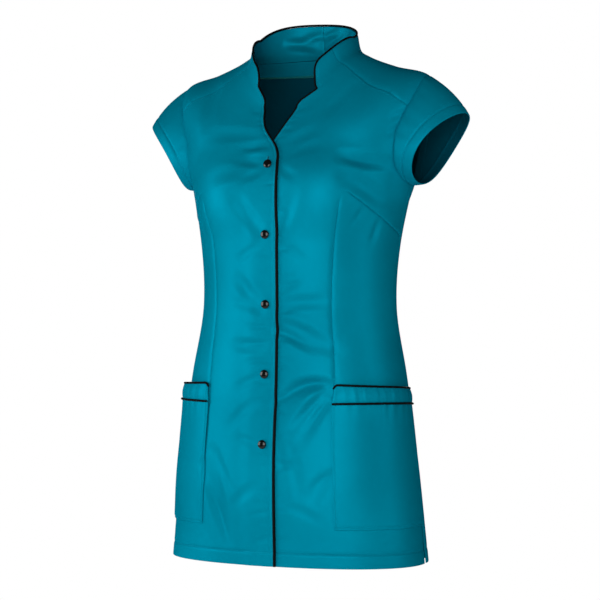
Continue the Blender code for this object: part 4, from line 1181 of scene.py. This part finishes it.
def make_sleeve(name, side):
    """One sleeve, with the seam allowances that its armhole hides."""
    turns = np.linspace(-90, 270, SLEEVE_COLUMNS + 1)
    on_front = turns <= 90
    climb = np.where(on_front, turns, 180 - turns)
    level = armhole_level(climb)
    reach = ARMHOLE_HALF_ANGLE * np.cos(np.radians(climb))
    angle = (SIDE + np.where(on_front, -reach, reach)) * side
    start = cloth(angle, level, fine=True)[0]
    cuff = cuff_edge(turns, side)
    length = np.linalg.norm(cuff - start, axis=1, keepdims=True)
    run = (cuff - start) / length
    round_ring = np.roll(cuff[:-1], -1, axis=0) - np.roll(cuff[:-1], 1, axis=0)
    round_ring = np.concatenate([round_ring, round_ring[:1]])
    swell = unit(np.cross(run, round_ring))
    swell *= np.sign(np.sum(swell * (cuff - cuff[:-1].mean(axis=0)), axis=1))[:, None]
    upper = np.clip(np.sin(np.radians(turns)), SLEEVE_UNDER_SHARE, 1)[:, None]
    rounding = SLEEVE_ROUNDING * upper * np.clip(length / SLEEVE_FULL_LENGTH, 0, 1)
    heading = unit(run + swell * rounding * 4 / length)
    outwards = np.clip(np.sum(heading * outward(angle, level), axis=1, keepdims=True), 0, 1)
    start = start + heading * (SEAM_GAP + CLOTH * outwards)
    hem_share = np.clip(1 - CUFF_DEPTH / length[:, 0], 0.35, 1)
    beside = STITCH_BESIDE / length[:, 0]
    share = spread((np.zeros(len(turns)), 0.0016 / length[:, 0], hem_share - beside, hem_share,
                    hem_share + beside, 1 - 0.0012 / length[:, 0], np.ones(len(turns))),
                   SLEEVE_COUNTS).T[..., None]
    points = start + (cuff - start) * share + swell * rounding * 4 * share * (1 - share)
    normals = np.broadcast_to(swell, points.shape)
    from_cuff = length * (1 - share)
    from_head = length * share
    ease = EASE * np.clip(np.sin(np.radians(turns)), 0, 1) * np.sin(turns / 2.9) * np.sin(turns / 7.3 + 1)
    relief = (hem_relief(from_cuff, CUFF_DEPTH, roll=0.0014) + edge_roll(from_head, 0.0028, 0.0005)
              + ease[:, None] * np.exp(-from_head / EASE_REACH))
    points = points + normals * relief
    made = finish_cloth(name, grid_shape(points, measure(points), -side, WELD), f"sleeve_{side_name(side)}")
    rows = np.linspace(0, 1, 5)[:, None, None]
    inside = start - swell * (ALLOWANCE + 0.0004) + run * (ALLOWANCE_WIDTH * rows - ALLOWANCE_BEYOND)
    # The allowance is all reverse, whose colour is darkened as painted shade.
    allowance = finish_piece(f"allowance_armhole_{side_name(side)}",
                             grid_shape(inside, measure(inside), -side, WELD), None,
                             (reverse_with_painted_shade, reverse_with_painted_shade), ALLOWANCE)
    return {"piece": made, "points": points, "normals": normals, "stitch": sum(SLEEVE_COUNTS[:3]),
            "allowance": allowance.name}


sleeve_left = make_sleeve("cloth_sleeve_left", 1)
sleeve_right = make_sleeve("cloth_sleeve_right", -1)

# %% [markdown]
# ## Inside the neck
#
# The stand has a facing in two halves, joined at the centre back, and below it lies the back neck facing,
# whose lower edge is overlocked: bound with looping thread so that it doesn't fray.

# %% Facings
FACING, FACING_SEAM, FACING_CLEAR = 0.0010, 0.0010, 0.0001
FACING_BEHIND_SEAM = 4.0   # degrees from the shoulder seam to the facings' ends
FACING_RAISED = 0.006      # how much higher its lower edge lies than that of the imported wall
SEAM_DIP, SEAM_DIP_WIDTH = 0.0003, 0.0016     # a seam sinks into the facing by the gap's width
STAND_COLUMNS, NECK_COLUMNS = 50, 110
STAND_CREASES = fold_lines({
    "right, long": (-0.052, 0.026, -0.010, 0.020, 0.0060, 0.011, 0.002),
    "right, from the seam": (-0.004, 0.038, -0.034, 0.030, 0.0050, 0.008, 0.0),
    "left, from the seam": (0.004, 0.034, 0.030, 0.042, 0.0055, 0.008, 0.0),
    "left, slanted": (0.010, 0.016, 0.040, 0.032, 0.0050, 0.009, 0.0),
    "left, outer": (0.044, 0.022, 0.060, 0.036, 0.0045, 0.008, 0.0),
}, back=True)


def make_facing(name, node, levels, ends, columns, drop_top):
    """A facing inside the neck between two ends, its top row let down; its right side faces in."""
    angles = spread(ends, (columns,))
    points, normals = cloth(angles, on_rows(levels, columns + 1), fine=True)
    inner = points - normals * (FACING + GAP + FACING_CLEAR)
    inner = inner - normals * np.clip(-stand_out(points, STAND_CREASES), -0.0004, 0.0060)[..., None]
    for edge in (0, -1):
        from_end = np.linalg.norm(inner - inner[:, edge:][:, :1], axis=-1)
        inner = inner + normals * (SEAM_DIP * np.exp(-(from_end / SEAM_DIP_WIDTH) ** 2))[..., None]
    inner[-1] -= unit(inner[-1] - inner[-2]) * drop_top
    # One face of the facing takes the reverse, whose colour is darkened as painted shade.
    made = finish_piece(name, grid_shape(inner, measure(inner)), node, (reverse_with_painted_shade, satin),
                        FACING)
    return made, inner, normals


stand_levels = steps_up(NECK_BASE, ((COLLAR_TOP, 0.0014),))
neck_levels = steps_up(FACING_BOTTOM + FACING_RAISED, ((NECK_BASE, 0.0030),))
stand_end, neck_end = (yoke_angle(levels) + FACING_BEHIND_SEAM for levels in (stand_levels, neck_levels))
joint = half_gap(CENTRE_BACK, stand_levels)
stand_left, *_ = make_facing("facing_stand_left", "collar_facing_left", stand_levels,
                             (stand_end, CENTRE_BACK - joint), STAND_COLUMNS, GAP)
stand_right, *_ = make_facing("facing_stand_right", "collar_facing_right", stand_levels,
                              (CENTRE_BACK + joint, FULL_TURN - stand_end), STAND_COLUMNS, GAP)
neck_facing, neck_points, neck_normals = make_facing(
    "facing_neck", "neck_facing", neck_levels, (neck_end, FULL_TURN - neck_end), NECK_COLUMNS, FACING_SEAM)

# %% [markdown]
# ## Piping
#
# Each piping is a grid rolled up into a tube and welded along its seam. It follows the panel's own edge, a
# hair away from it, so it turns every corner that the cloth does.

# %% Piping helper
PIPING_RADIUS, PLACKET_PIPING, COLLAR_PIPING = 0.0016, 0.0021, 0.0015
NECK_FOOT = (-0.160, -0.130)     # the heights between which the piping narrows
PIPING_SIDES, PIPING_SPACING, PIPING_END = 12, 0.0022, 0.0004
TUBE_END = 0.05                  # how much of its radius a tube keeps at its ends


def beside(edge, inner, normals, radius=PIPING_RADIUS, up=CLOTH / 2):
    """A line that runs along a shell's edge, just clear of it; inner is the next column of the shell."""
    along = unit(np.gradient(edge, axis=0))
    aside = unit(np.cross(normals, along))
    aside *= np.sign(np.sum(aside * (edge - inner)))
    return edge + aside * (radius + 0.0001) + normals * up


def make_tube(name, line, radius, node, surface, sides=PIPING_SIDES):
    """A piece that is a tube round a line: a grid rolled up, welded along its seam and closed at its ends."""
    along = unit(np.gradient(line, axis=0))
    side = unit(np.cross(along, [0.31, -0.22, 0.92]))
    up = np.cross(along, side)
    turns = np.linspace(0, 2 * math.pi, sides + 1)
    swell = np.ones(len(line))
    swell[[0, -1]] = TUBE_END
    circle = np.cos(turns)[:, None, None] * side + np.sin(turns)[:, None, None] * up
    points = line + circle * (radius * swell)[:, None]
    thread = np.stack(np.broadcast_arrays(run_along(line, 0), turns[:, None] * radius), axis=-1)
    shape = grid_shape(points, thread, dist=TUBE_WELD)
    bmesh.ops.holes_fill(shape, edges=shape.edges)
    bmesh.ops.recalc_face_normals(shape, faces=shape.faces)
    return finish_piece(name, shape, node, (surface,))


def resample(line, spacing):
    """The same line with evenly spaced points."""
    reach = run_along(line, 0)
    count = max(2, int(reach[-1] / spacing))
    at = np.linspace(0, reach[-1], count + 1)
    return read_along(line, reach, at)


def make_piping(name, line, node, radius=PIPING_RADIUS, upper=None):
    """A piping along a line; its radius changes to another one from the foot of the neckline up."""
    line = resample(line, PIPING_SPACING)
    first, last = unit(line[0] - line[1]), unit(line[-1] - line[-2])
    line = np.concatenate([[line[0] + first * PIPING_END], line, [line[-1] + last * PIPING_END]])
    if upper is not None:
        radius = np.interp(line[:, 2], NECK_FOOT, (radius, upper))
    return make_tube(name, line, radius, node, black_piping)


def front_edge(front):
    """The free edge of a front, up its placket and neckline and then along the collar's top."""
    points, normals = front["points"], front["normals"]
    return (np.concatenate([points[:, 0], points[-1, 1:]]), np.concatenate([points[:, 1], points[-2, 1:]]),
            np.concatenate([normals[:, 0], normals[-1, 1:]]))


line = beside(*front_edge(front_right), COLLAR_PIPING, up=COLLAR_PIPING)
make_piping("piping_over_front", line, "piping_right", PLACKET_PIPING, COLLAR_PIPING)
line = beside(*front_edge(front_left), COLLAR_PIPING)
above_crossing = int(np.argmax(line[:, 0] > UNDER_PIPING_FROM))
make_piping("piping_under_front", line[above_crossing:], "piping_left", COLLAR_PIPING)
points, normals, _ = back[1]
line = beside(points[-1], points[-2], normals[-1], COLLAR_PIPING)
make_piping("piping_collar_back", line, "piping_collar", COLLAR_PIPING)

# %% [markdown]
# ## Pockets
#
# A patch pocket is a bag laid on the front from the dart line to the side seam. Its top is eased into a
# gathered band, with one piping in the joint and one on the band's edge, and stands off the front a little.

# %% Pockets
POCKET_FULLNESS, POCKET_FOOT_SHARE = 0.0085, 0.12
POCKET_COLUMNS, POCKET_COUNTS = 108, (2, 1, 2)
POCKET_STITCH = 0.0022
BAG_PITCH, BAND_PITCH, BAND_FINE_PITCH = 0.017, 0.0150, 0.0080     # of the gathers
POCKET_TOP_LOW, POCKET_TOP_DROP = 0.10, 0.38     # how much narrower the band is at its front and its side
JOINT_SAG = 0.003
BAND_CORNER = 0.0045       # how low its front corner is rounded


def pocket_lift(angle, level):
    """How far the bag stands off the front: nothing at its sewn edges, most at the middle of its top."""
    first = dart_line(level)
    across = np.clip((angle - first) / (side_seam(level) - first), 0, 1)
    up = np.clip((level - POCKET_BOTTOM) / (POCKET_TOP - POCKET_BOTTOM), 0, 1)
    crown = np.clip(np.sin(math.pi * (0.01 + 0.98 * across)), 0, 1) ** 0.55
    fullness = POCKET_FOOT_SHARE + (1 - POCKET_FOOT_SHARE) * up ** 1.3
    foot = np.clip((level - POCKET_BOTTOM) / 0.006, 0, 1) ** 0.5
    return POCKET_FULLNESS * fullness * crown * foot


def gathers(across, seed, pitch):
    """Uneven vertical waves across a gathered edge, from -1 to 1; across is in metres."""
    chance = np.random.default_rng(seed)
    phase = chance.uniform(0, 6.28, 3)
    wander = across + 0.0018 * np.sin(across / 0.021 + phase[0]) + 0.0011 * np.sin(across / 0.008 + phase[1])
    swell = 0.65 + 0.35 * np.sin(across / 0.017 + phase[2])
    return np.sin(2 * math.pi * wander / pitch) * swell


def make_pocket(side):
    """A pocket's bag, with the lines of its stitches."""
    levels = steps_up(POCKET_BOTTOM, ((POCKET_BOTTOM + 0.0012, 0.0006), (POCKET_BOTTOM + 0.0022, 0.001),
                                      (POCKET_BOTTOM + 0.0040, 0.0009), (BAND_BOTTOM - GAP / 2, 0.0021)))
    first = dart_line(levels)
    mm = degrees_for(MM, first, levels)
    angles = spread((first, first + mm * 1.2, first + mm * 2.2, first + mm * 4.0, side_edge(levels)),
                    (*POCKET_COUNTS, POCKET_COLUMNS))
    grid = on_rows(levels, angles.shape[1])
    share = (angles - angles[:, :1]) / (angles[:, -1:] - angles[:, :1])
    grid = grid - JOINT_SAG * share ** 2 * np.clip((grid - BAND_BOTTOM) / 0.05 + 1, 0, 1)
    points, normals = cloth(angles * side, grid, LAYER + pocket_lift(angles, grid))
    across, up = run_along(points, 1), run_along(points, 0)
    below_band = up[-1:] - up
    ease = gathers(across, 10 + side, BAG_PITCH) * 0.0008 * np.exp(-below_band / 0.014)
    slack = (0.0012 * np.sin(across / 0.031 + side) * np.sin(up / 0.046 + 1)
             * np.sin(math.pi * np.clip(up / up[-1:], 0, 1)))
    relief = (edge_roll(across, 0.0018, 0.0005) + edge_roll(across[:, -1:] - across, 0.002, 0.0003)
              + edge_roll(up, 0.0018, 0.0005) + groove(across - POCKET_STITCH, 0.0009, 0.0007)
              + groove(up - POCKET_STITCH, 0.0009, 0.0007) + np.clip(ease, -0.0006, 1)
              + np.clip(slack, -0.0003, 1))
    points = points + normals * relief[..., None]
    shape = grid_shape(points, measure(points) * [side, 1], side)
    bag = finish_cloth(f"pocket_bag_{side_name(side)}", shape, f"pocket_{side_name(side)}")
    outer, at = points + normals * CLOTH, sum(POCKET_COUNTS[:2])
    return bag, [(outer[at + 2:, at], normals[at + 2:, at]), (outer[at, at:], normals[at, at:])]


def make_band(side):
    """A pocket's gathered band, with the pipings at its joint and its top."""
    name = side_name(side)
    rows = np.linspace(0, 1, 17)
    share = np.concatenate([np.linspace(0, 0.06, 11), np.linspace(0.06, 1, 151)[1:]])
    first = dart_line(BAND_BOTTOM + (POCKET_TOP - BAND_BOTTOM) * rows)[:, None]
    angles = first + (float(side_edge(POCKET_TOP)) - first) * share
    corner = BAND_CORNER * np.clip(1 - share / 0.030, 0, 1) ** 2
    drop = (POCKET_TOP - BAND_BOTTOM) * (POCKET_TOP_LOW + (POCKET_TOP_DROP - POCKET_TOP_LOW) * share ** 0.8)
    low, high = BAND_BOTTOM + GAP / 2 - JOINT_SAG * share ** 2, POCKET_TOP - drop - corner
    grid = low + (high - low) * rows[:, None]
    points, normals = cloth(angles * side, grid, LAYER + pocket_lift(angles, grid))
    across = run_along(points, 1)
    puff = np.sin(math.pi * rows)[:, None]
    slant = across + 0.004 * rows[:, None]
    waves = (gathers(slant, 20 + side, BAND_PITCH) * (0.35 + 0.65 * puff)
             + 0.3 * gathers(slant, 30 + side, BAND_FINE_PITCH))
    relief = 0.0016 * puff + np.clip(0.0005 * waves, -0.0006, 1)
    relief = relief * np.clip(across / 0.003, 0, 1) + edge_roll(across, 0.0016, 0.0004)
    points = points + normals * relief[..., None]
    shape = grid_shape(points, measure(points) * [side, 1], side)
    band = finish_cloth(f"pocket_band_gathered_{name}", shape, f"pocket_band_{name}")
    over = normals[0] * (CLOTH + PIPING_RADIUS * 0.8)
    make_piping(f"piping_joint_{name}", points[0] + over, f"pocket_joint_piping_{name}")
    make_piping(f"piping_top_{name}", beside(points[-1], points[-2], normals[-1]),
                f"pocket_top_piping_{name}")
    return band


pockets = {side: make_pocket(side) for side in (1, -1)}
bands = {side: make_band(side) for side in (1, -1)}

# %% [markdown]
# ## Stitch lines
#
# Every line of sewing that shows gets its thread: beside the piping, round the hem and the cuffs, along the
# vertical darts and the shoulder seams, and round the pockets.

# %% Stitches
DART_STITCHED_TO = -0.222
DART_STITCH_PITCH, DART_STITCH_RADIUS = 0.0034, 0.00016


def sew(name, lines):
    """One piece of thread along all the lines; a line may have its own pitch and radius."""
    shape = bmesh.new()
    for line, normals, *options in lines:
        add_stitches(shape, line, normals, *options)
    return finish_piece(name, shape, None, (sewing_thread,))


def nearest(levels, level):
    """The row that lies nearest to a level."""
    return int(np.argmin(np.abs(levels - level)))


def front_stitches(front):
    """The lines beside the placket's piping, round the hem, up the dart and along the shoulder seam."""
    normals, levels = front["normals"], front["levels"]
    outer = front["points"] + normals * (CLOTH + 0.00002)
    hem, low, high, yoke = (nearest(levels, level)
                            for level in (HEM + HEM_DEPTH, POCKET_TOP, DART_STITCHED_TO, YOKE_LEVEL))
    placket, dart = front["stitch"], front["dart"]
    return [(outer[:-6, placket], normals[:-6, placket]), (outer[hem, 1:-1], normals[hem, 1:-1]),
            (outer[low:high, dart], normals[low:high, dart], DART_STITCH_PITCH, DART_STITCH_RADIUS),
            (outer[yoke + 2:-4, -4], normals[yoke + 2:-4, -4])]


def back_stitches():
    points, normals, levels = back[0]
    hem = nearest(levels[:, 0], HEM + HEM_DEPTH)
    return [(points[hem, 1:-1] + normals[hem, 1:-1] * CLOTH, normals[hem, 1:-1])]


def sleeve_stitches(sleeve):
    points, normals = (sleeve[name][sleeve["stitch"]] for name in ("points", "normals"))
    return [(points + normals * CLOTH, normals)]


sew("stitches_front_left", front_stitches(front_left))
sew("stitches_front_right", front_stitches(front_right))
sew("stitches_back", back_stitches())
sew("stitches_sleeves", sleeve_stitches(sleeve_left) + sleeve_stitches(sleeve_right))
sew("stitches_pockets", pockets[1][1] + pockets[-1][1])

# %% [markdown]
# The overlocked edge is one thread that zigzags across the facing's edge, drawn as a thin tube.

# %% Overlock
OVERLOCK_PITCH, OVERLOCK_WIDTH, OVERLOCK_RADIUS, OVERLOCK_BELOW = 0.0026, 0.0048, 0.00040, 0.0006
OVERLOCK_STEPS, OVERLOCK_SIDES = 6, 5
edge = neck_points[0]
reach = run_along(edge, 0)
at = np.arange(0, reach[-1], OVERLOCK_PITCH / OVERLOCK_STEPS)
base, upper, facing_out = (read_along(values, reach, at)
                           for values in (edge, neck_points[2], neck_normals[0]))
zigzag = 0.5 + 0.5 * np.sin(2 * math.pi * at / OVERLOCK_PITCH)
wave = (base + unit(upper - base) * (zigzag * OVERLOCK_WIDTH - OVERLOCK_BELOW)[:, None]
        - facing_out * OVERLOCK_RADIUS)
make_tube("overlock_edge", wave, OVERLOCK_RADIUS, None, overlock_thread, OVERLOCK_SIDES)

# %% [markdown]
# ## Buttons
#
# A button is a turned profile: a low dome with a rolled rim on a short shank. The profile is a few vertices
# spun about the button's axis. The buttonhole under it is a slit bound with close stitches; the top one has
# slipped up and shows above its button. The shade in its open slit is painted: a thin tube of the piping's
# black lies along it.

# %% Buttons
BUTTON_RADIUS, BUTTON_RIM, BUTTON_DOME = 0.00625, 0.0016, 0.0040
SHANK_RADIUS, SHANK_HEIGHT = 0.0022, 0.0008
TOP_BUTTON, BUTTON_PITCH, BUTTONS = -0.165, 0.098, 5
BUTTON_HEIGHTS = [TOP_BUTTON - BUTTON_PITCH * step for step in range(BUTTONS)]
BUTTON_STEPS, BUTTON_SIDES = 10, 40


def button_profile():
    """The dome's radius and height from its top, over its rolled rim and down its shank."""
    profile = [(0.0, BUTTON_DOME)]
    for step in range(1, BUTTON_STEPS + 1):
        turn = math.pi / 2 * step / BUTTON_STEPS
        bulge = 0.00012 * math.exp(-((math.sin(turn) - 0.88) / 0.05) ** 2)
        profile.append((BUTTON_RADIUS * math.sin(turn),
                        BUTTON_RIM + (BUTTON_DOME - BUTTON_RIM) * math.cos(turn) + bulge))
    return profile + [(BUTTON_RADIUS - 0.0001, 0.0012), (BUTTON_RADIUS - 0.0004, SHANK_HEIGHT),
                      (SHANK_RADIUS, SHANK_HEIGHT), (SHANK_RADIUS, 0.0), (0.0, 0.0)]


def button_place(height):
    """The matrix that sets a button on the over front at a height, its axis out of the cloth."""
    angle, level = locate(0.0, height)
    place, normal = cloth(angle, level, 2 * LAYER)
    turned = Vector(normal).to_track_quat("Z", "Y").to_matrix().to_4x4()
    return Matrix.Translation(Vector(place)) @ turned


for number, height in enumerate(BUTTON_HEIGHTS, start=1):
    shape = bmesh.new()
    verts = [shape.verts.new((radius, 0, up)) for radius, up in button_profile()]
    edges = [shape.edges.new(pair) for pair in zip(verts[:-1], verts[1:])]
    bmesh.ops.spin(shape, geom=verts + edges, axis=(0, 0, 1), cent=(0, 0, 0), angle=2 * math.pi,
                   steps=BUTTON_SIDES, use_merge=True)
    bmesh.ops.remove_doubles(shape, verts=shape.verts, dist=TUBE_WELD)
    bmesh.ops.recalc_face_normals(shape, faces=shape.faces)
    bmesh.ops.transform(shape, matrix=button_place(height), verts=shape.verts)
    finish_piece(f"button_dome_{number}", shape, f"button_{number}", (button_gloss,))

# %% Buttonholes
HOLE_BELOW, HOLE_ABOVE, HOLE_HALF_WIDTH, HOLE_STITCH = 0.0040, 0.0118, 0.0015, 0.0005
HOLE_LEAN = -0.1           # the slit leans a little
SLIT_SHADE_RADIUS, SLIT_POINTS, SLIT_SIDES = 0.0006, 12, 6
STITCH_AHEAD = [1e-3, 0, 0]


def on_slit(height, across=0.0):
    """Places along the top buttonhole, at heights above its button, on the over front's outer face."""
    return cloth(*locate(across + HOLE_LEAN * height, BUTTON_HEIGHTS[0] + height), LAYER + CLOTH + 0.0003,
                 fine=True)


shape = bmesh.new()
layer = shape.verts.layers.float_vector.new(THREAD)
for height in np.arange(-HOLE_BELOW, HOLE_ABOVE, HOLE_STITCH):
    for side in (-1, 1):
        place, normal = on_slit(height, side * HOLE_HALF_WIDTH)
        place_stitch(shape, layer, place, place + STITCH_AHEAD, normal, BUTTON_HEIGHTS[0] + height,
                     STITCH_RADIUS)
finish_piece("buttonhole_stitches", shape, None, (sewing_thread,))
# The shade in the open slit is painted: a black tube along the slit's line.
line, _ = on_slit(np.linspace(-HOLE_BELOW, HOLE_ABOVE, SLIT_POINTS))
make_tube("buttonhole_slit", line, SLIT_SHADE_RADIUS, None, black_piping, SLIT_SIDES)
